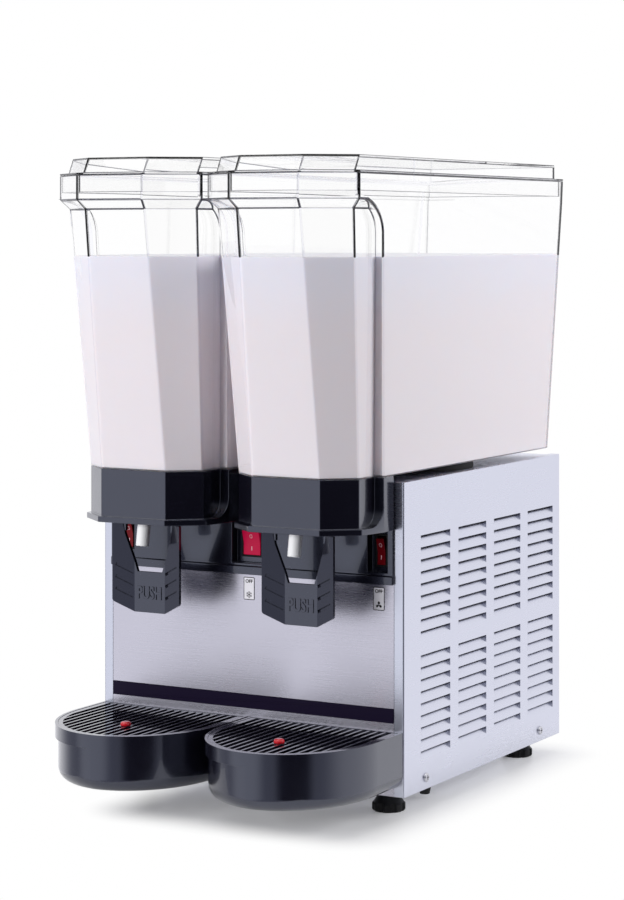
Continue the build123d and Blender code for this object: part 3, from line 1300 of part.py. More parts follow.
with BuildPart() as drip_grille:
    extrude(Pos(0, 0, GRILLE_BASE) * grille_outline, amount=GRILLE_TOP - GRILLE_BASE)
    extrude(Pos(0, 0, GRILLE_BASE) * grille_slots.sketch, amount=GRILLE_THICKNESS, mode=Mode.SUBTRACT)
    extrude(Pos(0, 0, GRILLE_BASE) * grille_ribs.sketch, amount=GRILLE_THICKNESS / 2)
    for slot in range(GRILLE_BARS + 1):
        slot_start = (slot - GRILLE_BARS / 2) * GRILLE_PITCH - slot_width / 2
        with BuildSketch(Plane.YZ.offset(slot_start)):
            Polygon(
                (slot_end, GRILLE_TOP - GRILLE_SLOPE),
                (slot_end + GRILLE_SLOPE, GRILLE_TOP),
                (slot_end, GRILLE_TOP),
                align=None,
            )
        extrude(amount=slot_width, mode=Mode.SUBTRACT)
    with BuildSketch(Plane.XY.offset(GRILLE_BASE)):
        with Locations((FLOAT_OFFSET, FLOAT_Y)):
            Circle(FLOAT_STEM_RADIUS + GAP + FLOAT_BOSS)
    extrude(amount=GRILLE_TOP - GRILLE_BASE)
    with BuildSketch(Plane.XY.offset(GRILLE_BASE)):
        with Locations((FLOAT_OFFSET, FLOAT_Y)):
            Circle(FLOAT_STEM_RADIUS + GAP)
    extrude(amount=GRILLE_THICKNESS, mode=Mode.SUBTRACT)
save_pair(drip_grille.part, "drip_grille")

# Float: domed button on a stem, with a buoyant disc near the tray's floor
float_bottom = TRAY_BOTTOM + TRAY_WALL + FLOAT_CLEARANCE
head_base = GRILLE_TOP + GAP

with BuildPart() as level_float:
    with BuildSketch(Plane.XY.offset(float_bottom)):
        with Locations((FLOAT_OFFSET, FLOAT_Y)):
            Circle(FLOAT_RADIUS)
    extrude(amount=FLOAT_HEIGHT)
    fillet(level_float.edges().filter_by(GeomType.CIRCLE), FLOAT_EDGE)
    with BuildSketch(Plane.XY.offset(float_bottom)):
        with Locations((FLOAT_OFFSET, FLOAT_Y)):
            Circle(FLOAT_STEM_RADIUS)
    extrude(amount=head_base - float_bottom)
    with BuildSketch(Plane.XY.offset(head_base)):
        with Locations((FLOAT_OFFSET, FLOAT_Y)):
            Circle(FLOAT_HEAD_RADIUS)
    extrude(amount=FLOAT_HEAD_HEIGHT)
    fillet(level_float.edges().group_by(Axis.Z)[-1], FLOAT_HEAD_DOME)
save_pair(level_float.part, "level_float")

# Compressor: domed steel can on a foot plate, with a terminal box and two pipe stubs
can_bottom = PAN_TOP + COMPRESSOR_STANDOFF
can_top = can_bottom + COMPRESSOR_HEIGHT
discharge_z = can_bottom + COMPRESSOR_DISCHARGE

with BuildPart() as compressor:
    with BuildSketch(Plane.XY.offset(can_bottom)):
        with Locations((COMPRESSOR_X, COMPRESSOR_Y)):
            Circle(COMPRESSOR_RADIUS)
    extrude(amount=COMPRESSOR_HEIGHT)
    fillet(compressor.edges().filter_by(GeomType.CIRCLE), COMPRESSOR_DOME)
    with BuildSketch(Plane.XY.offset(can_bottom + COMPRESSOR_HEIGHT / 2)):
        with Locations((COMPRESSOR_X, COMPRESSOR_Y)):
            Circle(COMPRESSOR_RADIUS + COMPRESSOR_SEAM)
    extrude(amount=COMPRESSOR_SEAM_HEIGHT)
    with BuildSketch(Plane.XY.offset(can_bottom)):
        with Locations((COMPRESSOR_X, COMPRESSOR_Y)):
            RectangleRounded(*COMPRESSOR_PLATE, COMPRESSOR_PLATE_CORNER)
    extrude(amount=COMPRESSOR_PLATE_THICKNESS)
    with BuildSketch(Plane.XY.offset(PAN_TOP)):
        with Locations((COMPRESSOR_X, COMPRESSOR_Y)):
            with GridLocations(*COMPRESSOR_FOOT_PITCH, 2, 2):
                Circle(COMPRESSOR_FOOT_RADIUS)
    extrude(amount=COMPRESSOR_STANDOFF)
    with BuildSketch(Plane.XY.offset(can_bottom + TERMINAL_BOX_RISE)):
        with Locations((COMPRESSOR_X + COMPRESSOR_RADIUS, COMPRESSOR_Y)):
            Rectangle(*TERMINAL_BOX)
    extrude(amount=TERMINAL_BOX_HEIGHT)
save(compressor.part, "compressor")

# Condenser: fin pack with end plates and tube bends
fin_pitch = CONDENSER_LENGTH / CONDENSER_FINS
row_pitch = CONDENSER_HEIGHT / CONDENSER_ROWS
fin_places = [CONDENSER_Y + (fin - (CONDENSER_FINS - 1) / 2) * fin_pitch for fin in range(CONDENSER_FINS)]
tube_places = [
    (CONDENSER_X, CONDENSER_Z + (row - (CONDENSER_ROWS - 1) / 2) * row_pitch)
    for row in range(CONDENSER_ROWS)
]

with BuildPart() as condenser:
    for fin_y in fin_places:
        with BuildSketch(Plane.XZ.offset(-fin_y)):
            with Locations((CONDENSER_X, CONDENSER_Z)):
                Rectangle(CONDENSER_THICKNESS, CONDENSER_HEIGHT)
        extrude(amount=CONDENSER_FIN / 2, both=True)
    with BuildSketch(Plane.XZ.offset(-CONDENSER_Y)):
        with Locations(*tube_places):
            Circle(CONDENSER_TUBE)
    extrude(amount=CONDENSER_LENGTH / 2, both=True)
    for row in range(CONDENSER_ROWS - 1):
        end = CONDENSER_LENGTH / 2 if row % 2 else -CONDENSER_LENGTH / 2
        middle_z = (tube_places[row][1] + tube_places[row + 1][1]) / 2
        with BuildSketch(Plane.XZ.offset(-CONDENSER_Y - end)):
            with Locations(tube_places[row]):
                Circle(CONDENSER_TUBE)
        bend_axis = Axis((CONDENSER_X, CONDENSER_Y + end, middle_z), (1, 0, 0))
        revolve(axis=bend_axis, revolution_arc=180 if row % 2 else -180)
save(condenser.part, "condenser")

# Fan: pitched blades on a hub, turning on the fan motor's shaft
fan_y = CONDENSER_Y
fan_z = PAN_TOP + FAN_RADIUS + FAN_CLEARANCE
fan_back = FAN_X - FAN_HUB_LENGTH / 2

with BuildPart(Plane(origin=(FAN_X, fan_y, fan_z), x_dir=(0, 1, 0), z_dir=(1, 0, 0))) as condenser_fan:
    with PolarLocations(FAN_RADIUS / 2, FAN_BLADES):
        Box(FAN_RADIUS, FAN_CHORD, FAN_BLADE, rotation=(FAN_PITCH, 0, 0))
    Cylinder(FAN_RADIUS, 2 * FAN_CHORD, mode=Mode.INTERSECT)
    Cylinder(FAN_HUB_RADIUS, FAN_HUB_LENGTH)
    Cylinder(FAN_SHAFT_RADIUS + RUNNING_FIT, 2 * FAN_HUB_LENGTH, mode=Mode.SUBTRACT)
save(condenser_fan.part, "condenser_fan")

motor_face = fan_back - FAN_MOTOR_GAP

with BuildPart() as fan_motor:
    with BuildSketch(Plane.YZ.offset(motor_face)):
        with Locations((fan_y, fan_z)):
            Circle(FAN_MOTOR_RADIUS)
    extrude(amount=-FAN_MOTOR_LENGTH)
    fillet(fan_motor.edges().filter_by(GeomType.CIRCLE), FAN_MOTOR_EDGE)
    with BuildSketch(Plane.YZ.offset(motor_face)):
        with Locations((fan_y, fan_z)):
            Circle(FAN_SHAFT_RADIUS)
    extrude(amount=FAN_HUB_LENGTH)
    with BuildSketch(Plane.YZ.offset(motor_face - FAN_MOTOR_LENGTH / 2)):
        with Locations((fan_y, PAN_TOP)):
            Rectangle(BRACKET_WIDTH, fan_z - PAN_TOP, align=(Align.CENTER, Align.MIN))
    extrude(amount=BRACKET_THICKNESS)
    with BuildSketch(Plane.XY.offset(PAN_TOP)):
        with Locations((motor_face - FAN_MOTOR_LENGTH / 2, fan_y)):
            Rectangle(BRACKET_FOOT, BRACKET_WIDTH)
    extrude(amount=BRACKET_THICKNESS)
save(fan_motor.part, "fan_motor")

# Refrigerant pipes: discharge, liquid, cross-over and suction lines
condenser_left = CONDENSER_X - CONDENSER_THICKNESS / 2
coil_y = EVAPORATOR_Y + MOTOR_RADIUS + PIPE_RADIUS + PIPE_CLEARANCE
coil_top = DECK_TOP + PIPE_RISE
under_deck = DECK_TOP - PIPE_DROP
discharge_y = FRONT + DISCHARGE_SETBACK
discharge_top = under_deck - DISCHARGE_DROP
liquid_y = fin_places[-1] - 1.5 * fin_pitch
left_x, right_x = TANK_SIDES.values()
pipe_routes = [
    [
        (COMPRESSOR_X, COMPRESSOR_Y - COMPRESSOR_RADIUS, discharge_z),
        (COMPRESSOR_X, discharge_y, discharge_z),
        (COMPRESSOR_X, discharge_y, discharge_top),
        (condenser_left, discharge_y, discharge_top),
    ],
    [
        (CONDENSER_X, liquid_y, CONDENSER_Z + CONDENSER_HEIGHT / 2),
        (CONDENSER_X, liquid_y, under_deck),
        (right_x, liquid_y, under_deck),
        (right_x, coil_y, under_deck),
        (right_x, coil_y, coil_top),
    ],
    [
        (right_x - PIPE_PAIR_GAP, coil_y, coil_top),
        (right_x - PIPE_PAIR_GAP, coil_y, under_deck),
        (left_x + PIPE_PAIR_GAP, coil_y, under_deck),
        (left_x + PIPE_PAIR_GAP, coil_y, coil_top),
    ],
    [
        (left_x, coil_y, coil_top),
        (left_x, coil_y, under_deck),
        (left_x, COMPRESSOR_Y, under_deck),
        (left_x, COMPRESSOR_Y, can_top),
    ],
]

with BuildPart() as refrigerant_pipes:
    for route in pipe_routes:
        with BuildLine() as run:
            FilletPolyline(*route, radius=PIPE_BEND)
        with BuildSketch(Plane(origin=run.line @ 0, z_dir=run.line % 0)):
            Circle(PIPE_RADIUS)
        sweep(path=run.line)
save(refrigerant_pipes.part, "refrigerant_pipes")

# Thermostat behind the rear panel, its knob outside
rear_inner = REAR - SHEET

with BuildPart() as thermostat:
    with BuildSketch(Plane.XZ.offset(-rear_inner)):
        with Locations((THERMOSTAT_X, THERMOSTAT_Z)):
            Rectangle(THERMOSTAT_SIZE, THERMOSTAT_SIZE)
    extrude(amount=THERMOSTAT_DEPTH)
    with BuildSketch(Plane.XZ.offset(-rear_inner)):
        with Locations((THERMOSTAT_X, THERMOSTAT_Z)):
            Circle(KNOB_SHAFT_RADIUS)
    extrude(amount=-KNOB_HEIGHT + KNOB_CAP + 2 * GAP)
save(thermostat.part, "thermostat")

with BuildPart() as thermostat_knob:
    with BuildSketch(Plane.XZ.offset(-REAR - GAP)):
        with Locations((THERMOSTAT_X, THERMOSTAT_Z)):
            Circle(KNOB_RADIUS)
            with PolarLocations(KNOB_RADIUS, KNOB_RIBS):
                Circle(KNOB_RIB_RADIUS, mode=Mode.SUBTRACT)
    extrude(amount=-KNOB_HEIGHT, taper=KNOB_TAPER)
    with BuildSketch(Plane.XZ.offset(-REAR - GAP)):
        with Locations((THERMOSTAT_X, THERMOSTAT_Z)):
            Circle(KNOB_SHAFT_RADIUS + RUNNING_FIT)
    extrude(amount=-KNOB_HEIGHT + KNOB_CAP, mode=Mode.SUBTRACT)
    with BuildSketch(Plane.XZ.offset(-REAR - GAP - KNOB_HEIGHT)):
        with Locations((THERMOSTAT_X, THERMOSTAT_Z + KNOB_RADIUS * 0.6)):
            Rectangle(*KNOB_MARK)
    extrude(amount=KNOB_MARK_DEPTH, mode=Mode.SUBTRACT)
save(thermostat_knob.part, "thermostat_knob")

# Cord gland: bushing through the rear panel
with BuildPart() as cord_gland:
    with BuildSketch(Plane.XZ.offset(-REAR)):
        with Locations((GLAND_X, GLAND_Z)):
            Circle(GLAND_RADIUS)
    extrude(amount=-GLAND_LENGTH / 2, taper=GLAND_TAPER)
    with BuildSketch(Plane.XZ.offset(-REAR)):
        with Locations((GLAND_X, GLAND_Z)):
            Circle(GLAND_RADIUS - GLAND_LIP)
    extrude(amount=GLAND_LENGTH / 2)
    with BuildSketch(Plane.XZ.offset(-REAR)):
        with Locations((GLAND_X, GLAND_Z)):
            Circle(GLAND_BORE)
    extrude(amount=GLAND_LENGTH, both=True, mode=Mode.SUBTRACT)
save(cord_gland.part, "cord_gland")
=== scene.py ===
# %% [markdown]
# # Dressing a twin-tank cold drink dispenser
#
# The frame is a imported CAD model: every solid piece of the dispenser is already at its real size and place.
# This lesson gives those pieces their finishes, rounds the edges that a mould would round, and adds the small
# things that are printed, stuck or screwed on.  The object stands on the floor at the origin, its taps face
# -Y, and Blender works in metres, so a millimetre has a name of its own.

# %% Load the frame
import json
from math import atan2, radians

import bmesh
import bpy
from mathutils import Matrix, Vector
from mathutils.bvhtree import BVHTree


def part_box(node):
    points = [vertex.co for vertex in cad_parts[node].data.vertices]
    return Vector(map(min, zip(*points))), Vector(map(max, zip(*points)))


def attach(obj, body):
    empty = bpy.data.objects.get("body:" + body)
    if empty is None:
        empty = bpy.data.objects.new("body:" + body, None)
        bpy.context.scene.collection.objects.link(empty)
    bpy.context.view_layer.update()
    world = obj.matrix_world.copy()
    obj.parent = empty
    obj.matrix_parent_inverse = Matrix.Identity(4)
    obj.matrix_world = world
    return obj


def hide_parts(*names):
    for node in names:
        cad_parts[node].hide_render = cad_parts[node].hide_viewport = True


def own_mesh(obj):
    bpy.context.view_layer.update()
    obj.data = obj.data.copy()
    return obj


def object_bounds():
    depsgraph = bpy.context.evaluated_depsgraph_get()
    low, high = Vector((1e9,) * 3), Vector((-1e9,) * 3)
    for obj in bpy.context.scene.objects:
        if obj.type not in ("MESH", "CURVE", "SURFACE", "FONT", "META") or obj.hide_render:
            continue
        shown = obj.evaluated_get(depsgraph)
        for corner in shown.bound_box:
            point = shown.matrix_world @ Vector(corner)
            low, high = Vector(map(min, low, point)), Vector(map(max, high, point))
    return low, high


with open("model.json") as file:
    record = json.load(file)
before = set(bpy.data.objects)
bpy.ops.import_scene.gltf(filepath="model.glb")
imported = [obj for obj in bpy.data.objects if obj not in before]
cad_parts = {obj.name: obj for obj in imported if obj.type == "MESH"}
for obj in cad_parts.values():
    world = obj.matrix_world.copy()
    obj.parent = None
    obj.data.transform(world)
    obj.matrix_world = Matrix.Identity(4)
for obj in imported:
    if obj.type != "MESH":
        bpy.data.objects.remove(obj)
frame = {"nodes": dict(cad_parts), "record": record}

MM = 0.001
cad_low, cad_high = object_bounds()
cad_size = [round((high - low) / MM, 1) for low, high in zip(cad_low, cad_high)]
print("nodes:", len(frame["nodes"]), "size in mm:", cad_size)

# %% [markdown]
# ## The camera
#
# The picture was taken with a long lens from the dispenser's right, a little above the drink's surface.
# The camera stays level, so that upright edges stay upright, and a vertical shift brings the object into the
# frame, as a photographer does with a view camera.

# %% Place the camera
LENS_LENGTH = 101.48
LENS_SHIFT = -0.24
CAMERA_PLACE = (1.3437, -2.372, 0.5845)
CAMERA_TURN = 29.4

camera_data = bpy.data.cameras.new("studio_camera")
camera_data.lens = LENS_LENGTH
camera_data.shift_y = LENS_SHIFT
camera = bpy.data.objects.new("studio_camera", camera_data)
camera.location = CAMERA_PLACE
camera.rotation_euler = (radians(90), 0, radians(CAMERA_TURN))
bpy.context.scene.collection.objects.link(camera)
bpy.context.scene.camera = camera
bpy.context.scene.view_settings.view_transform = "Standard"
print("camera at", [round(v, 2) for v in camera.location])

# %% [markdown]
# ## Colours and nodes
#
# Colours are written as sRGB hex, as a colour picker shows them, and shader sockets want linear light, so one
# function turns one into the other.  Another adds any node: what it is given for an input is either a value
# for that socket or another node's output to link to it.  Arithmetic and noise are needed again and again, so
# they have short forms.


# %% Helpers for finishes
def linear(code):
    """Turn an sRGB hex code into the linear colour of a shader socket."""
    channels = [int(code[start:start + 2], 16) / 255 for start in (1, 3, 5)]
    curve = [c / 12.92 if c <= 0.04045 else ((c + 0.055) / 1.055) ** 2.4 for c in channels]
    return curve + [1.0]


def add_node(tree, kind, inputs=None, **properties):
    """Add one node with its properties, and set or link its inputs."""
    node = tree.nodes.new(kind)
    for name, value in properties.items():
        setattr(node, name, value)
    for name, value in (inputs or {}).items():
        if isinstance(value, bpy.types.NodeSocket):
            tree.links.new(value, node.inputs[name])
        else:
            node.inputs[name].default_value = value
    return node


def calculate(tree, operation, *values):
    """Add a Math node and return its result."""
    node = add_node(tree, "ShaderNodeMath", dict(enumerate(values)), operation=operation)
    return node.outputs["Value"]


def vector_math(tree, operation, *values):
    """Add a Vector Math node."""
    return add_node(tree, "ShaderNodeVectorMath", dict(enumerate(values)), operation=operation)


def noise(tree, size, detail, roughness=0.5):
    """Add noise on the object's own axes, its grain a size in millimetres, and return its value."""
    spot = add_node(tree, "ShaderNodeTexCoord")
    grain = add_node(tree, "ShaderNodeTexNoise", {
        "Vector": spot.outputs["Object"], "Scale": 1 / (size * MM), "Detail": detail, "Roughness": roughness,
    })
    return grain.outputs["Fac"]


def new_finish(name):
    """Start a material with an empty node tree."""
    finish = bpy.data.materials.new(name)
    finish.use_nodes = True
    finish.node_tree.nodes.clear()
    return finish, finish.node_tree


def close_finish(tree, inputs):
    """End a material with its surface shader."""
    surface = add_node(tree, "ShaderNodeBsdfPrincipled", inputs)
    add_node(tree, "ShaderNodeOutputMaterial", {"Surface": surface.outputs["BSDF"]})


print("white is", [round(v, 2) for v in linear("#FFFFFF")])

# %% [markdown]
# ## Floor and light
#
# The dispenser stands on a white table in a studio.  The table is a matte white sheet that keeps the object's
# shadow under it, a little to the right, because most light comes from the left.  Away from that core the
# sheet glows more and more, so that at its border it runs into the white background without a line.  The glow
# is for the camera: what the black trays mirror is mostly the shaded paper.  Sizes here are in metres.

# %% Make the floor
FLOOR_MARGIN = 0.07
SHADOW_SHIFT = Vector((0.05, 0.02, 0))
SHADOW_INSET = Vector((0.07, 0.06, 0))
SHADOW_REACH = 0.08
LEAST_GLOW = 0.15
MIRRORED_GLOW = 0.2

centre = (Vector(cad_low) + Vector(cad_high)) / 2
half_size = (Vector(cad_high) - Vector(cad_low)) / 2
bpy.ops.object.select_all(action="DESELECT")
bpy.ops.mesh.primitive_plane_add(size=2, location=(centre.x, centre.y, 0))
floor = bpy.context.object
floor.name = "studio_floor"
floor.scale = (half_size.x + FLOOR_MARGIN, half_size.y + FLOOR_MARGIN, 1)
bpy.ops.object.transform_apply(location=True, rotation=True, scale=True)
floor_finish, tree = new_finish("white_studio_paper")
spot = add_node(tree, "ShaderNodeTexCoord")
way_out = vector_math(tree, "SUBTRACT", spot.outputs["Object"], centre + SHADOW_SHIFT)
folded = vector_math(tree, "ABSOLUTE", way_out.outputs["Vector"])
beyond = vector_math(tree, "SUBTRACT", folded.outputs["Vector"], half_size - SHADOW_INSET)
outside = vector_math(tree, "MAXIMUM", beyond.outputs["Vector"], (0, 0, 0))
reach = vector_math(tree, "LENGTH", outside.outputs["Vector"])
fade = add_node(tree, "ShaderNodeMapRange", {
    "Value": reach.outputs["Value"], "From Max": SHADOW_REACH, "To Min": LEAST_GLOW,
}, interpolation_type="SMOOTHSTEP")
ray = add_node(tree, "ShaderNodeLightPath")
dimming = add_node(tree, "ShaderNodeMapRange", {
    "Value": ray.outputs["Is Glossy Ray"], "To Min": 1.0, "To Max": MIRRORED_GLOW,
})
paper = add_node(tree, "ShaderNodeBsdfPrincipled", {
    "Base Color": linear("#FAFAFC"), "Roughness": 0.35, "Specular IOR Level": 0.35,
})
glow = add_node(tree, "ShaderNodeEmission", {"Color": linear("#FFFFFF"), "Strength": 1.0})
sheet = add_node(tree, "ShaderNodeMixShader", {
    "Fac": calculate(tree, "MULTIPLY", fade.outputs["Result"], dimming.outputs["Result"]),
    1: paper.outputs["BSDF"], 2: glow.outputs["Emission"],
})
add_node(tree, "ShaderNodeOutputMaterial", {"Surface": sheet.outputs["Shader"]})
floor.data.materials.append(floor_finish)
print("floor", [round(side, 2) for side in floor.dimensions], "m")

# %% [markdown]
# Polished black plastic and clear tanks look like what stands around them.  In the picture the faces that
# look straight ahead mirror a wide softbox at the left front, those beside them are darker, and those that
# look to the right front are black.  So the room is drawn by direction, one side after another over grey
# front walls: white paper behind, the softbox, a dark curtain by the camera, and a white ceiling.  The room
# is mirrored at full strength but gives little light, which is left to the lamps.  What the camera sees past
# the object or through its clear tanks is plain white.

# %% Draw the room
FRONT_WALLS = "#A8AAB6"
# Each side has a name, a direction, the cosines towards it at which it begins and is full, and a colour.
ROOM_SIDES = (
    ("white paper", (0, 1, 0), -0.25, 0.30, "#FAFAFF"),
    ("softbox", (-0.5, -0.86, 0), 0.80, 0.95, "#F6F8FF"),
    ("dark curtain", (0.68, -0.73, 0), 0.86, 0.95, "#1E1E24"),
    ("white ceiling", (0, 0, 1), 0.35, 0.75, "#FFFFFF"),
)
ROOM_LIGHT = 0.35

world = bpy.data.worlds.new("white_studio")
world.use_nodes = True
bpy.context.scene.world = world
tree = world.node_tree
tree.nodes.clear()
way = add_node(tree, "ShaderNodeTexCoord")
shade = linear(FRONT_WALLS)
for side, direction, begin, full, colour in ROOM_SIDES:
    towards = vector_math(tree, "DOT_PRODUCT", way.outputs["Generated"], Vector(direction).normalized())
    share = add_node(tree, "ShaderNodeMapRange", {
        "Value": towards.outputs["Value"], "From Min": begin, "From Max": full,
    }, interpolation_type="SMOOTHSTEP")
    painted = add_node(tree, "ShaderNodeMix", {
        "Factor": share.outputs["Result"], 6: shade, 7: linear(colour),
    }, data_type="RGBA", label=side)
    shade = painted.outputs[2]
ray = add_node(tree, "ShaderNodeLightPath")
strength = add_node(tree, "ShaderNodeMapRange", {
    "Value": ray.outputs["Is Glossy Ray"], "To Min": ROOM_LIGHT, "To Max": 1.0,
})
seen = calculate(tree, "MAXIMUM", ray.outputs["Is Camera Ray"], ray.outputs["Is Transmission Ray"])
studio = add_node(tree, "ShaderNodeBackground", {"Color": shade, "Strength": strength.outputs["Result"]})
white = add_node(tree, "ShaderNodeBackground", {"Color": linear("#FFFFFF"), "Strength": 1.0})
backdrop = add_node(tree, "ShaderNodeMixShader", {
    "Fac": seen, 1: studio.outputs["Background"], 2: white.outputs["Background"],
})
add_node(tree, "ShaderNodeOutputWorld", {"Surface": backdrop.outputs["Shader"]})
print("room sides:", [side[0] for side in ROOM_SIDES])

# %% [markdown]
# Three softboxes give the light its direction.  The one in front hangs low, so that its light gets in under
# the collars.  None of them shows through the clear plastic, and only the one overhead may be mirrored: it
# draws the thin bright lines along the rims, while the other two would break up the even faces of the black
# plastic.


# %% Hang the softboxes
def softbox(name, place, aim, width, height, power, mirrored):
    """Hang a rectangular lamp and point it at the object; sizes in metres, power in watts."""
    lamp_data = bpy.data.lights.new(name, "AREA")
    lamp_data.shape = "RECTANGLE"
    lamp_data.size = width
    lamp_data.size_y = height
    lamp_data.energy = power
    lamp = bpy.data.objects.new(name, lamp_data)
    lamp.location = place
    lamp.rotation_euler = (Vector(aim) - Vector(place)).to_track_quat("-Z", "Y").to_euler()
    lamp.visible_glossy = mirrored
    lamp.visible_transmission = False
    bpy.context.scene.collection.objects.link(lamp)


softbox(
    "top_softbox", place=(-0.5, -0.1, 2.4), aim=(0, 0, 0.3),
    width=2.0, height=2.0, power=18, mirrored=True,
)
softbox(
    "front_softbox", place=(-0.9, -2.4, 0.55), aim=(0, 0, 0.35),
    width=1.2, height=1.0, power=50, mirrored=False,
)
softbox(
    "rear_softbox", place=(2.2, 1.0, 1.1), aim=(0, 0.05, 0.4),
    width=1.2, height=1.4, power=46, mirrored=False,
)

# %% [markdown]
# ## Steel
#
# The cabinet is folded from stainless sheet.  The front sheet is brushed: fine scratches run across it, which
# blur reflections up and down.  The sides, the back and the deck have the mill's satin face.  Both are bare
# metal, so the colour sits in the reflection, and noise that is stretched along the grain varies how rough
# the surface is.  Real scratches are near 0.1 mm; they are drawn about ten times coarser, so that they show,
# and an anisotropic reflection does the rest of the blurring.  A Bevel node rounds the folded and cut edges
# in the shading alone.

# %% Stainless sheet
FOLD_RADIUS = 0.5
SCRATCH_DEPTH = 0.02
HANDLING_SIZE = 70


def stainless_sheet(name, colour, grain, roughness, scratch, streak=0.0):
    """Sheet steel whose grain has a length along each axis, in millimetres.

    The scratch is how strongly the grain shows as relief, and the streak how far it draws reflections out
    upright.
    """
    finish, tree = new_finish(name)
    spot = add_node(tree, "ShaderNodeTexCoord")
    stretch = add_node(tree, "ShaderNodeMapping", {
        "Vector": spot.outputs["Object"], "Scale": [1 / (length * MM) for length in grain],
    })
    lines = add_node(tree, "ShaderNodeTexNoise", {
        "Vector": stretch.outputs["Vector"], "Scale": 1.0, "Detail": 4.0, "Roughness": 0.6,
    })
    worn = calculate(tree, "ADD", lines.outputs["Fac"], noise(tree, HANDLING_SIZE, detail=2.0))
    rough = add_node(tree, "ShaderNodeMapRange", {
        "Value": worn, "From Min": 0.6, "From Max": 1.4,
        "To Min": roughness * 0.9, "To Max": roughness * 1.1,
    })
    rounded = add_node(tree, "ShaderNodeBevel", {"Radius": FOLD_RADIUS * MM}, samples=4)
    relief = add_node(tree, "ShaderNodeBump", {
        "Height": lines.outputs["Fac"], "Strength": scratch, "Distance": SCRATCH_DEPTH * MM,
        "Normal": rounded.outputs["Normal"],
    })
    upright = add_node(tree, "ShaderNodeCombineXYZ", {"Z": 1.0})
    close_finish(tree, {
        "Base Color": linear(colour), "Metallic": 1.0, "Roughness": rough.outputs["Result"],
        "Anisotropic": streak, "Tangent": upright.outputs["Vector"], "Normal": relief.outputs["Normal"],
    })
    return finish


front_steel = stainless_sheet(
    "brushed_stainless", "#D3D0DA", grain=(45, 45, 1.1), roughness=0.27, scratch=0.02, streak=0.75,
)
side_steel = stainless_sheet(
    "satin_stainless", "#DADCE8", grain=(60, 60, 3.0), roughness=0.28, scratch=0.0,
)
inner_steel = stainless_sheet(
    "polished_stainless", "#D0D0D6", grain=(12, 12, 4.0), roughness=0.16, scratch=0.10,
)
print("steel:", front_steel.name, side_steel.name, inner_steel.name)

# %% [markdown]
# ## Moulded plastics
#
# The collars, levers, fascia and trays are black ABS from a polished mould: a dark body under a glossy skin
# that ripples very slightly, like orange peel.  A Bevel node in the shading rounds the edges that keep their
# CAD shape.  The same recipe with other colours, gloss and ripple makes the satin switch bodies and feet, the
# white acetal valve parts, the red switches and floats, the black enamel and the printed films.

# %% Moulded plastic
EDGE_RADIUS = 0.6
WIPE_SIZE = 35
PEEL_DEPTH = 0.01


def moulded_plastic(name, colour, roughness, gloss, ripple, extra=None):
    """Plastic with a clear skin of some gloss, and a ripple of some size in millimetres."""
    finish, tree = new_finish(name)
    wiped = noise(tree, WIPE_SIZE, detail=4.0, roughness=0.65)
    rough = add_node(tree, "ShaderNodeMapRange", {
        "Value": wiped, "From Min": 0.3, "From Max": 0.7,
        "To Min": roughness * 0.85, "To Max": roughness * 1.2,
    })
    rounded = add_node(tree, "ShaderNodeBevel", {"Radius": EDGE_RADIUS * MM}, samples=4)
    relief = add_node(tree, "ShaderNodeBump", {
        "Height": noise(tree, ripple, detail=2.0), "Strength": 0.25, "Distance": PEEL_DEPTH * MM * ripple,
        "Normal": rounded.outputs["Normal"],
    })
    inputs = {
        "Base Color": linear(colour), "Roughness": rough.outputs["Result"], "IOR": 1.53,
        "Coat Weight": gloss, "Coat Roughness": 0.05, "Normal": relief.outputs["Normal"],
    }
    inputs.update(extra or {})
    close_finish(tree, inputs)
    return finish


# Painted cool cast: the violet in this black and the blue Specular Tint stand in for the cool light that the
# plastic mirrors.
black_abs = moulded_plastic(
    "gloss_black_abs", "#0E0D16", roughness=0.20, gloss=0.9, ripple=3.0,
    extra={"Specular Tint": linear("#D5DEFF"), "Specular IOR Level": 0.85},
)
black_satin = moulded_plastic(
    "satin_black_nylon", "#08080A", roughness=0.42, gloss=0.0, ripple=0.8,
    extra={"Specular IOR Level": 0.25},
)
white_acetal = moulded_plastic("white_acetal", "#FAFAFC", roughness=0.30, gloss=0.3, ripple=2.0)
grey_plastic = moulded_plastic("grey_moulding", "#84868A", roughness=0.45, gloss=0.0, ripple=0.8)
float_red = moulded_plastic("red_float", "#C20E1E", roughness=0.25, gloss=0.6, ripple=1.5)
dark_red = moulded_plastic(
    "dark_red_rocker", "#6E0712", roughness=0.18, gloss=0.1, ripple=2.0,
    extra={"Specular IOR Level": 0.15},
)
lit_red = moulded_plastic(
    "lit_red_rocker", "#A00A38", roughness=0.18, gloss=0.1, ripple=2.0,
    extra={"Emission Color": linear("#FF1050"), "Emission Strength": 0.14, "Specular IOR Level": 0.15},
)
print("plastics:", black_abs.name, black_satin.name, white_acetal.name, lit_red.name)

# %% [markdown]
# ## Clear tanks and the drink
#
# Tanks and lids are moulded in clear polycarbonate.  A path tracer can't find a lamp through a bending wall,
# so rays on their way to a lamp, scattered rays, and rays that have already met nine surfaces go straight
# through; without that the drink behind the wall would be dark.  The walls bend light less than the real
# plastic does, so that four of them in a row still look clear.

# %% Polycarbonate
SURFACES_BENT = 8.5
FLOW_SIZE = 60
FLOW_DEPTH = 0.3

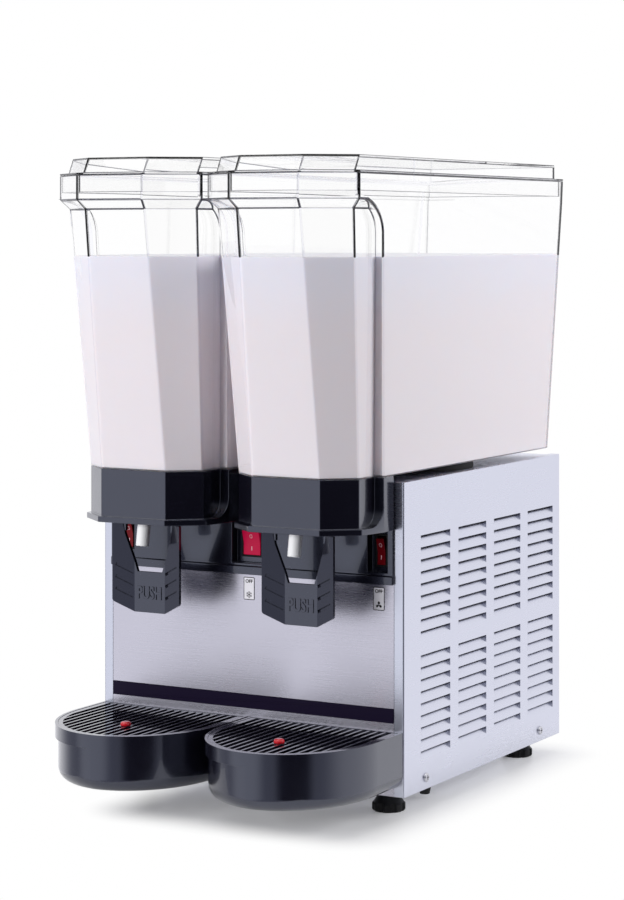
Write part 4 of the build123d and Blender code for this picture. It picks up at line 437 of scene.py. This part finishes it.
clear_plastic, tree = new_finish("clear_polycarbonate")
relief = add_node(tree, "ShaderNodeBump", {
    "Height": noise(tree, FLOW_SIZE, detail=1.0), "Strength": 0.15, "Distance": FLOW_DEPTH * MM,
})
wall = add_node(tree, "ShaderNodeBsdfPrincipled", {
    "Base Color": linear("#FFFFFF"), "Roughness": 0.0, "IOR": 1.40, "Transmission Weight": 1.0,
    "Normal": relief.outputs["Normal"],
})
air = add_node(tree, "ShaderNodeBsdfTransparent", {"Color": linear("#FFFFFF")})
ray = add_node(tree, "ShaderNodeLightPath")
lamp_or_bounce = calculate(tree, "MAXIMUM", ray.outputs["Is Shadow Ray"], ray.outputs["Is Diffuse Ray"])
deep = calculate(tree, "GREATER_THAN", ray.outputs["Ray Depth"], SURFACES_BENT)
straight = calculate(tree, "MAXIMUM", lamp_or_bounce, deep)
clear = add_node(tree, "ShaderNodeMixShader", {
    "Fac": straight, 1: wall.outputs["BSDF"], 2: air.outputs["BSDF"],
})
add_node(tree, "ShaderNodeOutputMaterial", {"Surface": clear.outputs["Shader"]})
print("clear:", clear_plastic.name)

# %% [markdown]
# A rounded edge of clear plastic throws light aside, so against a white background it reads as a thin dark
# line, the darker the more it is turned away, while in front of the pale drink it hardly shows.  The edges
# get the same finish with a painted grey shade that Layer Weight fades in, and only above the drink's
# surface.
# Rays that run along inside a wall meet many edges, so only the edges that a ray meets early are painted
# dark.

# %% Edges of the clear plastic
EDGES_PAINTED_DARK = 2.5

drink_low, drink_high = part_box("right_drink")
clear_edge = clear_plastic.copy()
clear_edge.name = "clear_polycarbonate_edge"
tree = clear_edge.node_tree
spot = add_node(tree, "ShaderNodeTexCoord")
axes = add_node(tree, "ShaderNodeSeparateXYZ", {"Vector": spot.outputs["Object"]})
above = calculate(tree, "GREATER_THAN", axes.outputs["Z"], drink_high.z)
turned = add_node(tree, "ShaderNodeLayerWeight", {"Blend": 0.5})
steep = add_node(tree, "ShaderNodeMapRange", {
    "Value": turned.outputs["Facing"], "From Min": 0.06, "From Max": 0.20,
}, interpolation_type="SMOOTHSTEP")
ray = add_node(tree, "ShaderNodeLightPath")
early = calculate(tree, "LESS_THAN", ray.outputs["Ray Depth"], EDGES_PAINTED_DARK)
open_to_sight = calculate(tree, "MULTIPLY", above, early)
dark = calculate(tree, "MULTIPLY", open_to_sight, steep.outputs["Result"])
# Painted shade: the edge's base colour turns dark grey where the edge is turned away from the camera.
painted_edge_shade = add_node(tree, "ShaderNodeMix", {
    "Factor": dark, 6: linear("#F4F4F8"), 7: linear("#22222C"),
}, data_type="RGBA")
tree.links.new(painted_edge_shade.outputs[2], tree.nodes["Principled BSDF"].inputs["Base Color"])
print("edges:", clear_edge.name)

# %% [markdown]
# The drink is milky: light enters, scatters and comes out pale.  Towards the surface a cool painted shade is
# blended over its warm white, and noise lets the border of that painted shade drift up and down.

# %% Milky drink
SHADE_DRIFT_SIZE = 90
SHADE_DRIFT_RISE = 30
PAINTED_SHADE_START_BELOW = 70
PAINTED_SHADE_FULL_ABOVE = 15

drink_finish, tree = new_finish("milky_drink")
spot = add_node(tree, "ShaderNodeTexCoord")
axes = add_node(tree, "ShaderNodeSeparateXYZ", {"Vector": spot.outputs["Object"]})
# Painted shade: from some way below the surface upwards the colour turns cooler, standing in for how the
# light falls there.
shade_drift = noise(tree, SHADE_DRIFT_SIZE, detail=2.0)
painted_shade_by_height = add_node(tree, "ShaderNodeMapRange", {
    "Value": calculate(tree, "MULTIPLY_ADD", shade_drift, SHADE_DRIFT_RISE * MM, axes.outputs["Z"]),
    "From Min": drink_high.z - PAINTED_SHADE_START_BELOW * MM, "From Max": drink_high.z + PAINTED_SHADE_FULL_ABOVE * MM,
}, interpolation_type="SMOOTHSTEP")
milk_and_painted_shade = add_node(tree, "ShaderNodeMix", {
    "Factor": painted_shade_by_height.outputs["Result"], 6: linear("#E9E2E7"), 7: linear("#E6E4EE"),
}, data_type="RGBA")
close_finish(tree, {
    "Base Color": milk_and_painted_shade.outputs[2], "Roughness": 0.3, "IOR": 1.35,
    "Subsurface Weight": 0.3, "Subsurface Radius": (8 * MM, 6 * MM, 5 * MM), "Subsurface Scale": 1.0,
})
print("drink from", round(drink_low.z / MM), "to", round(drink_high.z / MM), "mm")

# %% [markdown]
# ## Small finishes
#
# What sits inside the cabinet shows through the louvres and when a tank is lifted off: black enamel on the
# compressor, aluminium fins, copper pipes, zinc-plated motors, a dull ferrite magnet and rubber seals with a
# fine matte grain.


# %% Metals and rubber of the cooling set
def rough_metal(name, colour, roughness, speck):
    """Bare or plated metal whose gloss varies in specks of some size in millimetres."""
    finish, tree = new_finish(name)
    rough = add_node(tree, "ShaderNodeMapRange", {
        "Value": noise(tree, speck, detail=5.0), "To Min": roughness * 0.6, "To Max": roughness * 1.4,
    })
    close_finish(tree, {
        "Base Color": linear(colour), "Metallic": 1.0, "Roughness": rough.outputs["Result"],
    })
    return finish


copper = rough_metal("drawn_copper", "#C98A66", roughness=0.30, speck=6)
aluminium = rough_metal("mill_aluminium", "#C9CBCE", roughness=0.38, speck=3)
zinc_plate = rough_metal("zinc_plate", "#A9ABAD", roughness=0.35, speck=8)
ferrite = rough_metal("ferrite_magnet", "#2B2B2E", roughness=0.55, speck=1.5)
black_enamel = moulded_plastic("black_enamel", "#101012", roughness=0.25, gloss=0.7, ripple=1.2)

RUBBER_GRAIN = 0.6
RUBBER_DEPTH = 0.05
black_rubber, tree = new_finish("black_rubber")
relief = add_node(tree, "ShaderNodeBump", {
    "Height": noise(tree, RUBBER_GRAIN, detail=3.0), "Strength": 0.4, "Distance": RUBBER_DEPTH * MM,
})
close_finish(tree, {
    "Base Color": linear("#161616"), "Roughness": 0.75, "IOR": 1.52, "Normal": relief.outputs["Normal"],
})
print("metals:", copper.name, aluminium.name, zinc_plate.name, ferrite.name)

# %% [markdown]
# ## Copies that stand in
#
# A piece that needs another shape than its CAD node gets a copy to work on.  The copy's loose triangles are
# merged and its flat faces are dissolved into whole ones, but a ring such as a tank's rim is split again,
# because a hollow face could close over the opening.  The finished copy stands in for the CAD node and moves
# with the same body.  Smooth shading alone would bend the light on a wide face towards its narrow edges, so
# a Weighted Normal modifier lets the wide faces win.  Sizes are in millimetres and angles in degrees.

# %% Copy and stand in
BODY_OF = {node: body for body, nodes in frame["record"]["behaviour"]["bodies"].items() for node in nodes}
MERGE_REACH = 0.002
FLAT_ANGLE = 0.6
SMOOTH_ANGLE = 40


def only(piece):
    """Select one object and make it the active one."""
    bpy.ops.object.select_all(action="DESELECT")
    piece.select_set(True)
    bpy.context.view_layer.objects.active = piece


def copied(node, name, finish):
    """Copy a CAD node in one finish, with its triangles merged into flat faces that are whole but convex."""
    piece = bpy.data.objects.new(name, frame["nodes"][node].data.copy())
    bpy.context.scene.collection.objects.link(piece)
    piece.data.materials.clear()
    piece.data.materials.append(finish)
    only(piece)
    bpy.ops.mesh.customdata_custom_splitnormals_clear()
    bpy.ops.object.mode_set(mode="EDIT")
    bpy.ops.mesh.select_all(action="SELECT")
    bpy.ops.mesh.remove_doubles(threshold=MERGE_REACH * MM)
    bpy.ops.mesh.dissolve_limited(angle_limit=radians(FLAT_ANGLE))
    bpy.ops.mesh.vert_connect_concave()
    bpy.ops.object.mode_set(mode="OBJECT")
    return piece


def stand_in(piece, node):
    """Let a smoothed piece take a CAD node's place, on the same body."""
    only(piece)
    bpy.ops.object.shade_smooth_by_angle(angle=radians(SMOOTH_ANGLE))
    evened = piece.modifiers.new("evened", "WEIGHTED_NORMAL")
    evened.keep_sharp = True
    bpy.ops.object.modifier_apply(modifier="evened")
    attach(piece, BODY_OF[node])
    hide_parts(node)


# %% [markdown]
# ## Rounding the edges
#
# A CAD solid has knife edges, while a moulded piece has small radii that catch the light in a thin bright
# line.  On a copy, a Bevel modifier rounds every edge that is sharper than an angle, in a finish of its own
# where one is given.  The drink touches its tank, and two faces in one place would flicker, so the drink is
# swollen a little into the clear walls and sunk into the clear floor.

# %% Softened copies
ROUNDED_ANGLE = 25
CLEAR_FLOOR = 6.0
BASE_REACH = 1.0


def choose(piece, kind, test):
    """In edit mode, select only the faces or the edges of a piece that pass a test."""
    bpy.ops.mesh.select_mode(type=kind)
    bpy.ops.mesh.select_all(action="DESELECT")
    shape = bmesh.from_edit_mesh(piece.data)
    for part in shape.faces if kind == "FACE" else shape.edges:
        if test(part):
            part.select_set(True)
    bmesh.update_edit_mesh(piece.data)


def in_base(face, height):
    """Whether a face looks down and lies close to some height."""
    return face.normal.z < -0.9 and abs(face.calc_center_median().z - height * MM) < BASE_REACH * MM


def softened(node, finish, radius, edge_finish=None, swell=0.0, base=0.0, sink=0.0):
    """Copy a CAD node with rounded edges.

    A piece that touches a clear wall is swollen into it, and its flat base, at some height, is sunk into the
    clear floor.
    """
    piece = copied(node, node + "_moulded", finish)
    bpy.ops.object.mode_set(mode="EDIT")
    bpy.ops.mesh.select_all(action="SELECT")
    if swell:
        bpy.ops.transform.shrink_fatten(value=swell * MM, use_even_offset=True)
    if sink:
        choose(piece, "FACE", lambda face: in_base(face, base))
        bpy.ops.transform.translate(value=(0, 0, -sink * MM))
    bpy.ops.object.mode_set(mode="OBJECT")
    rounding = piece.modifiers.new("rounding", "BEVEL")
    rounding.width = radius * MM
    rounding.segments = 2
    rounding.limit_method = "ANGLE"
    rounding.angle_limit = radians(ROUNDED_ANGLE)
    rounding.use_clamp_overlap = False
    if edge_finish:
        piece.data.materials.append(edge_finish)
        rounding.material = 1
    bpy.ops.object.modifier_apply(modifier="rounding")
    stand_in(piece, node)


for side in ("left", "right"):
    softened(f"{side}_tank", clear_plastic, radius=1.0, edge_finish=clear_edge)
    softened(f"{side}_lid", clear_plastic, radius=0.7, edge_finish=clear_edge)
    floor_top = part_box(f"{side}_tank")[0].z / MM + CLEAR_FLOOR
    softened(f"{side}_drink", drink_finish, radius=1.2, swell=0.4, base=floor_top, sink=5.0)
    softened(f"{side}_collar", black_abs, radius=0.7)
    softened(f"{side}_valve_piston", white_acetal, radius=0.3)
    softened(f"{side}_level_float", float_red, radius=0.3)
softened("fascia", black_abs, radius=0.6)
for place, rocker in (("centre", lit_red), ("left", dark_red), ("right", dark_red)):
    softened(f"{place}_rocker", rocker, radius=0.5)
    softened(f"{place}_switch_body", black_satin, radius=0.3)

# %% [markdown]
# ## Valve springs
#
# A coil spring presses each white piston down on its seat, and a smoothed copy of it stands in for the CAD
# node.

# %% Springs
for side in ("left", "right"):
    spring = copied(f"{side}_valve_spring", f"{side}_coil_spring", inner_steel)
    stand_in(spring, f"{side}_valve_spring")
    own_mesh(spring)

# %% [markdown]
# ## Finishes on the other CAD pieces
#
# Sheet metal, levers, trays, feet and everything inside keep their CAD shape and get a finish in their
# material slot.

# %% Dress the remaining nodes
FINISHES = {
    "front_panel": front_steel, "left_side_panel": side_steel, "right_side_panel": side_steel,
    "rear_panel": side_steel, "top_deck": side_steel, "base_pan": side_steel, "base_bumper": black_rubber,
    "compressor": black_enamel, "condenser": aluminium, "condenser_fan": grey_plastic,
    "fan_motor": zinc_plate, "refrigerant_pipes": copper, "thermostat": grey_plastic,
    "thermostat_knob": black_satin, "cord_gland": black_satin,
}
for corner in ("front_left", "front_right", "rear_left", "rear_right"):
    FINISHES[f"{corner}_foot"] = black_satin
for side in ("left", "right"):
    FINISHES[f"{side}_tap_lever"] = black_abs
    FINISHES[f"{side}_drip_tray"] = black_abs
    FINISHES[f"{side}_drip_grille"] = black_abs
    FINISHES[f"{side}_tank_gasket"] = black_rubber
    FINISHES[f"{side}_evaporator"] = inner_steel
    FINISHES[f"{side}_impeller"] = white_acetal
    FINISHES[f"{side}_agitator_motor"] = zinc_plate
    FINISHES[f"{side}_magnet_rotor"] = ferrite
    FINISHES[f"{side}_lever_pin"] = inner_steel
    FINISHES[f"{side}_piston_seal"] = black_rubber
for node, finish in FINISHES.items():
    for material_slot in frame["nodes"][node].material_slots:
        material_slot.material = finish
print("dressed CAD nodes:", len(FINISHES))

# %% [markdown]
# ## Helpers for the small pieces
#
# Each small piece is modelled at the origin, where its sizes are easy to read, and then carried to its place.
# To find that place, a line of sight is cast at a CAD node, as one would lay a finger on it.  The piece's
# place goes into its mesh at the end, as a CAD node's does.


# %% Look and settle
def middle_of(node):
    """The middle of a CAD node's box, in millimetres."""
    low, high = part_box(node)
    return (low + high) / 2 / MM


def front_of(node, x, z):
    """Where a line of sight along +Y meets a CAD node, and the turn that lays a piece flat on it."""
    mesh = frame["nodes"][node].data
    skin = BVHTree.FromPolygons([v.co for v in mesh.vertices], [p.vertices for p in mesh.polygons])
    point, normal = skin.ray_cast(Vector((x * MM, -1, z * MM)), Vector((0, 1, 0)))[:2]
    return point, (atan2(-normal.z, -normal.y), 0, 0)


def settle(piece, place, turn, body):
    """Carry a piece to its place, and give it its body."""
    only(piece)
    piece.location = place
    piece.rotation_euler = turn
    bpy.ops.object.transform_apply(location=True, rotation=True, scale=True)
    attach(piece, body)
    print(piece.name, "at", [round(v / MM, 1) for v in place])


def twin(piece, name):
    """A copy of a piece with a mesh of its own."""
    other = bpy.data.objects.new(name, piece.data.copy())
    bpy.context.scene.collection.objects.link(other)
    return other


print("middle of the front sheet:", [round(v, 1) for v in middle_of("front_panel")])

# %% [markdown]
# ## Thin films
#
# The dark strip over the trays, the switch labels and their printed signs are thin films.  Each starts as a
# box at full size whose four short edges are bevelled into round corners; on the strip and the labels an
# inset on the front face leaves a border.  The strip crosses the whole front sheet just above the drip trays.
# It is left plain, and it has almost no gloss, so that it stays darker than the black plastic around it.

# %% Strip over the trays
STRIP_LOW = 94.3
STRIP_HIGH = 109.0
STRIP_FILM = 0.25


def runs_through(edge, thickness):
    """Whether an edge runs from the front of a film to its back."""
    first, last = edge.verts
    return abs(first.co.y - last.co.y) > thickness / 2 * MM


def looks_ahead(face):
    """Whether a face looks to the front, along -Y."""
    return face.normal.y < -0.5


def film(width, thickness, height, corner, segments, rise=0.0):
    """A film that faces -Y, its back at the origin or some way above it, with round corners."""
    bpy.ops.object.select_all(action="DESELECT")
    bpy.ops.mesh.primitive_cube_add(
        size=1, location=(0, -thickness / 2 * MM, rise * MM),
        scale=(width * MM, thickness * MM, height * MM),
    )
    piece = bpy.context.object
    bpy.ops.object.transform_apply(location=True, rotation=True, scale=True)
    bpy.ops.object.mode_set(mode="EDIT")
    choose(piece, "EDGE", lambda edge: runs_through(edge, thickness))
    bpy.ops.mesh.bevel(offset=corner * MM, segments=segments, affect="EDGES")
    bpy.ops.object.mode_set(mode="OBJECT")
    return piece


def plate(name, width, thickness, height, corner, border):
    """A film with a border on its front."""
    piece = film(width, thickness, height, corner, segments=4)
    piece.name = name
    bpy.ops.object.mode_set(mode="EDIT")
    choose(piece, "FACE", looks_ahead)
    bpy.ops.mesh.inset(thickness=border * MM, depth=0)
    bpy.ops.object.mode_set(mode="OBJECT")
    return piece


dark_film = moulded_plastic(
    "dark_vinyl_film", "#150E24", roughness=0.45, gloss=0.0, ripple=0.5,
    extra={"Specular IOR Level": 0.12},
)
panel_low, panel_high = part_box("front_panel")
panel_width = (panel_high.x - panel_low.x) / MM
strip = plate("front_strip", panel_width, STRIP_FILM, STRIP_HIGH - STRIP_LOW, corner=0.6, border=0.8)
strip.data.materials.append(dark_film)
strip_spot, strip_turn = front_of("front_panel", 0, (STRIP_LOW + STRIP_HIGH) / 2)
settle(strip, strip_spot, strip_turn, "cabinet")

# %% [markdown]
# ## Letters
#
# Letters start as a text object, which is made a mesh, stretched to the size measured on the object, and
# stood up to face -Y.  The levers carry the word PUSH in raised letters, as the mould leaves it.

# %% Raised PUSH
PUSH_WIDTH = 29.0
PUSH_HEIGHT = 13.5
PUSH_RELIEF = 0.9
PUSH_Z = 213.5
TEXT_DEPTH = 0.05


def letters(name, word, width, height, thickness, rounding=0.0, weight=0.0):
    """A word as a mesh that faces -Y, its back at the origin, fitted to sizes in millimetres.

    Before the fit, in the font's own units, its edges are rounded and its strokes get more weight.
    """
    bpy.ops.object.select_all(action="DESELECT")
    bpy.ops.object.text_add()
    text = bpy.context.object.data
    text.body = word
    text.extrude = TEXT_DEPTH
    text.bevel_depth = rounding
    text.offset = weight
    bpy.ops.object.convert(target="MESH")
    piece = bpy.context.object
    piece.name = name
    points = [vertex.co for vertex in piece.data.vertices]
    low = Vector([min(point[axis] for point in points) for axis in range(3)])
    high = Vector([max(point[axis] for point in points) for axis in range(3)])
    fit = Vector((width, height, thickness)) * MM
    piece.scale = [fit[axis] / (high[axis] - low[axis]) for axis in range(3)]
    middle = (low + high) / 2
    piece.location = (-middle.x * piece.scale.x, -middle.y * piece.scale.y, -low.z * piece.scale.z)
    bpy.ops.object.transform_apply(location=True, rotation=True, scale=True)
    piece.rotation_euler = (radians(90), 0, 0)
    bpy.ops.object.transform_apply(location=True, rotation=True, scale=True)
    return piece


for side in ("left", "right"):
    word = letters(
        f"{side}_push_letters", "PUSH", PUSH_WIDTH, PUSH_HEIGHT, PUSH_RELIEF, rounding=0.015, weight=0.012,
    )
    word.data.materials.append(black_abs)
    lever_x = middle_of(f"{side}_tap_lever").x
    word_spot, word_turn = front_of(f"{side}_tap_lever", lever_x, PUSH_Z)
    settle(word, word_spot, word_turn, f"{side}_tap_lever")

# %% [markdown]
# ## Switch labels
#
# Under each switch a small white label has a thin black border, the word OFF and a sign for what it switches:
# a snowflake for the cooling, three fan blades for the stirrers.

# %% Label and its word
LABEL_WIDTH = 13.0
LABEL_HEIGHT = 23.5
LABEL_Z = 218.2
LABEL_FILM = 0.2
OFF_WIDTH = 8.6
OFF_HEIGHT = 3.6
INK = 0.05

white_film = moulded_plastic("white_label_film", "#EFEDF4", roughness=0.40, gloss=0.0, ripple=0.5)
black_ink = moulded_plastic(
    "black_label_ink", "#0C0A10", roughness=0.45, gloss=0.0, ripple=0.4,
    extra={"Specular IOR Level": 0.1},
)


def switch_label(place):
    """A label of white film whose border and word are printed in black."""
    label = plate(f"{place}_label", LABEL_WIDTH, LABEL_FILM, LABEL_HEIGHT, corner=1.2, border=0.75)
    label.data.materials.append(white_film)
    label.data.materials.append(black_ink)
    border_area = LABEL_WIDTH * LABEL_HEIGHT / 4 * MM ** 2
    bpy.ops.object.mode_set(mode="EDIT")
    choose(label, "FACE", lambda face: looks_ahead(face) and face.calc_area() < border_area)
    label.active_material_index = 1
    bpy.ops.object.material_slot_assign()
    bpy.ops.object.mode_set(mode="OBJECT")
    word = letters(f"{place}_label_word", "OFF", OFF_WIDTH, OFF_HEIGHT, INK, weight=0.035)
    word.data.materials.append(black_ink)
    return label, word


print("label", LABEL_WIDTH, "by", LABEL_HEIGHT, "mm")

# %% [markdown]
# The snowflake is one arm with two barbs, turned six times; the fan is one blade, turned three times.  Each
# is put together from flat bars and discs, and its copies are joined into one sign.

# %% Signs
BLADE_RADIUS = 1.25
BLADE_STRETCH = 1.25
BLADE_REACH = 2.1


def bar(length, width, start=0.0, turn=0.0):
    """A printed bar that begins some way above the origin, turned about the label's own axis in degrees."""
    piece = film(width, INK, length, corner=width / 3, segments=2, rise=length / 2)
    piece.rotation_euler = (0, radians(turn), 0)
    piece.location = (0, 0, start * MM)
    bpy.ops.object.transform_apply(location=True, rotation=True, scale=True)
    return piece


def joined(pieces, name):
    """Join several pieces into one."""
    bpy.ops.object.select_all(action="DESELECT")
    for piece in pieces:
        piece.select_set(True)
    bpy.context.view_layer.objects.active = pieces[0]
    bpy.ops.object.join()
    pieces[0].name = name
    return pieces[0]


def turned_about(piece, count, name):
    """Repeat a piece around the label's own axis and join the copies."""
    ring = [piece]
    for step in range(1, count):
        other = twin(piece, name)
        only(other)
        other.rotation_euler = (0, radians(360 / count * step), 0)
        bpy.ops.object.transform_apply(location=True, rotation=True, scale=True)
        ring.append(other)
    return joined(ring, name)


def snowflake(name):
    """Six arms, each with two barbs."""
    arm = joined([
        bar(length=3.6, width=0.55),
        bar(length=1.3, width=0.5, start=2.1, turn=55),
        bar(length=1.3, width=0.5, start=2.1, turn=-55),
    ], name)
    return turned_about(arm, 6, name)


def fan_blades(name):
    """Three round blades about a hub."""
    bpy.ops.object.select_all(action="DESELECT")
    bpy.ops.mesh.primitive_cylinder_add(
        vertices=20, radius=BLADE_RADIUS * MM, depth=INK * MM,
        location=(0, -INK / 2 * MM, BLADE_REACH * MM), rotation=(radians(90), 0, 0),
        scale=(1, BLADE_STRETCH, 1),
    )
    blade = bpy.context.object
    bpy.ops.object.transform_apply(location=True, rotation=True, scale=True)
    stalk = bar(length=1.4, width=0.8)
    return turned_about(joined([blade, stalk], name), 3, name)


print("fan sign reaches", round(BLADE_REACH + BLADE_RADIUS * BLADE_STRETCH, 1), "mm from its hub")

# %% [markdown]
# Each label lies on the front sheet under its switch, with the word high on it and the sign low.

# %% Stick the labels on
OFF_RISE = 7.6
SIGN_DROP = 6.3

for place, sign_maker in (("centre", snowflake), ("left", fan_blades), ("right", fan_blades)):
    label_x = middle_of(f"{place}_rocker").x
    label_spot, label_turn = front_of("front_panel", label_x, LABEL_Z)
    label, word = switch_label(place)
    sign = sign_maker(f"{place}_label_sign")
    sign.data.materials.append(black_ink)
    on_label = label_spot - Vector((0, LABEL_FILM * MM, 0))
    settle(label, label_spot, label_turn, "cabinet")
    settle(word, on_label + Vector((0, 0, OFF_RISE * MM)), label_turn, "cabinet")
    settle(sign, on_label - Vector((0, 0, SIGN_DROP * MM)), label_turn, "cabinet")

# %% [markdown]
# ## Marks on the rockers
#
# Each rocker has a ring for off on its upper half and a bar for on below, printed in pale ink.  They lie flat
# on the tilted faces and flip with the rocker.

# %% Rocker marks
MARK_HEIGHT = 4.2
MARK_SPREAD = 6.3
MARK_INK = 0.08
# Each mark has a name, a letter, its width, and the way it sits from the rocker's middle.
MARKS = (("off", "O", 3.4, 1), ("on", "I", 0.8, -1))

pale_ink = moulded_plastic("pale_switch_ink", "#F2C9D2", roughness=0.35, gloss=0.2, ripple=0.5)
for place in ("centre", "left", "right"):
    rocker_middle = middle_of(f"{place}_rocker")
    for name, letter, width, way in MARKS:
        mark = letters(f"{place}_{name}_mark", letter, width, MARK_HEIGHT, MARK_INK)
        mark.data.materials.append(pale_ink)
        mark_z = rocker_middle.z + way * MARK_SPREAD
        mark_spot, mark_turn = front_of(f"{place}_rocker", rocker_middle.x, mark_z)
        settle(mark, mark_spot, mark_turn, f"{place}_rocker")

# %% [markdown]
# ## Screws
#
# Two pan-head screws with a cross recess hold each side sheet at the bottom, and six more hold the back.  The
# head is a short cylinder whose top edge is bevelled round, and two blades are cut out of it with a Boolean.

# %% Pan-head screw
HEAD_RADIUS = 4.75
HEAD_HEIGHT = 2.3
HEAD_ROUNDING = 1.5
HEAD_SMOOTH_ANGLE = 35
RECESS_LENGTH = 5.2
RECESS_WIDTH = 1.1
RECESS_DEPTH = 1.3

bpy.ops.object.select_all(action="DESELECT")
bpy.ops.mesh.primitive_cylinder_add(
    vertices=32, radius=HEAD_RADIUS * MM, depth=HEAD_HEIGHT * MM, location=(0, 0, HEAD_HEIGHT / 2 * MM),
)
screw = bpy.context.object
bpy.ops.object.transform_apply(location=True, rotation=True, scale=True)
bpy.ops.object.mode_set(mode="EDIT")
choose(screw, "EDGE", lambda edge: min(vertex.co.z for vertex in edge.verts) > HEAD_HEIGHT / 2 * MM)
bpy.ops.mesh.bevel(offset=HEAD_ROUNDING * MM, segments=4, affect="EDGES")
bpy.ops.object.mode_set(mode="OBJECT")
for turn in (0, 90):
    bpy.ops.object.select_all(action="DESELECT")
    bpy.ops.mesh.primitive_cube_add(
        size=1, location=(0, 0, HEAD_HEIGHT * MM), rotation=(0, 0, radians(turn)),
        scale=(RECESS_LENGTH * MM, RECESS_WIDTH * MM, 2 * RECESS_DEPTH * MM),
    )
    blade = bpy.context.object
    only(screw)
    cut = screw.modifiers.new("recess", "BOOLEAN")
    cut.operation = "DIFFERENCE"
    cut.object = blade
    bpy.ops.object.modifier_apply(modifier="recess")
    bpy.data.objects.remove(blade)
only(screw)
bpy.ops.object.shade_smooth_by_angle(angle=radians(HEAD_SMOOTH_ANGLE))
screw.data.materials.append(inner_steel)
print("screw faces:", len(screw.data.polygons))

# %% [markdown]
# The same screw is copied to each place, with its head turned to face out of the sheet that it holds.

# %% Drive the screws
SIDE_SCREW_Z = 33.0
SIDE_SCREW_Y = (("front", 48.0), ("rear", 328.0))
REAR_SCREW_X = (("left", -158.0), ("right", 158.0))
REAR_SCREW_Z = (("low", 34.0), ("middle", 178.0), ("high", 322.0))

side_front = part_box("right_side_panel")[0].y
rear_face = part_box("rear_panel")[1].y
screw_places = []
for side, x, turn in (("left", cad_low.x, -90), ("right", cad_high.x, 90)):
    for end, y in SIDE_SCREW_Y:
        screw_places.append((
            f"{side}_{end}_side_screw", (x, side_front + y * MM, SIDE_SCREW_Z * MM), (0, radians(turn), 0),
        ))
for side, x in REAR_SCREW_X:
    for height, z in REAR_SCREW_Z:
        screw_places.append((
            f"{side}_{height}_rear_screw", (x * MM, rear_face, z * MM), (radians(-90), 0, 0),
        ))
for name, place, turn in screw_places:
    settle(twin(screw, name), place, turn, "cabinet")
bpy.data.objects.remove(screw)
print("screws:", len(screw_places))
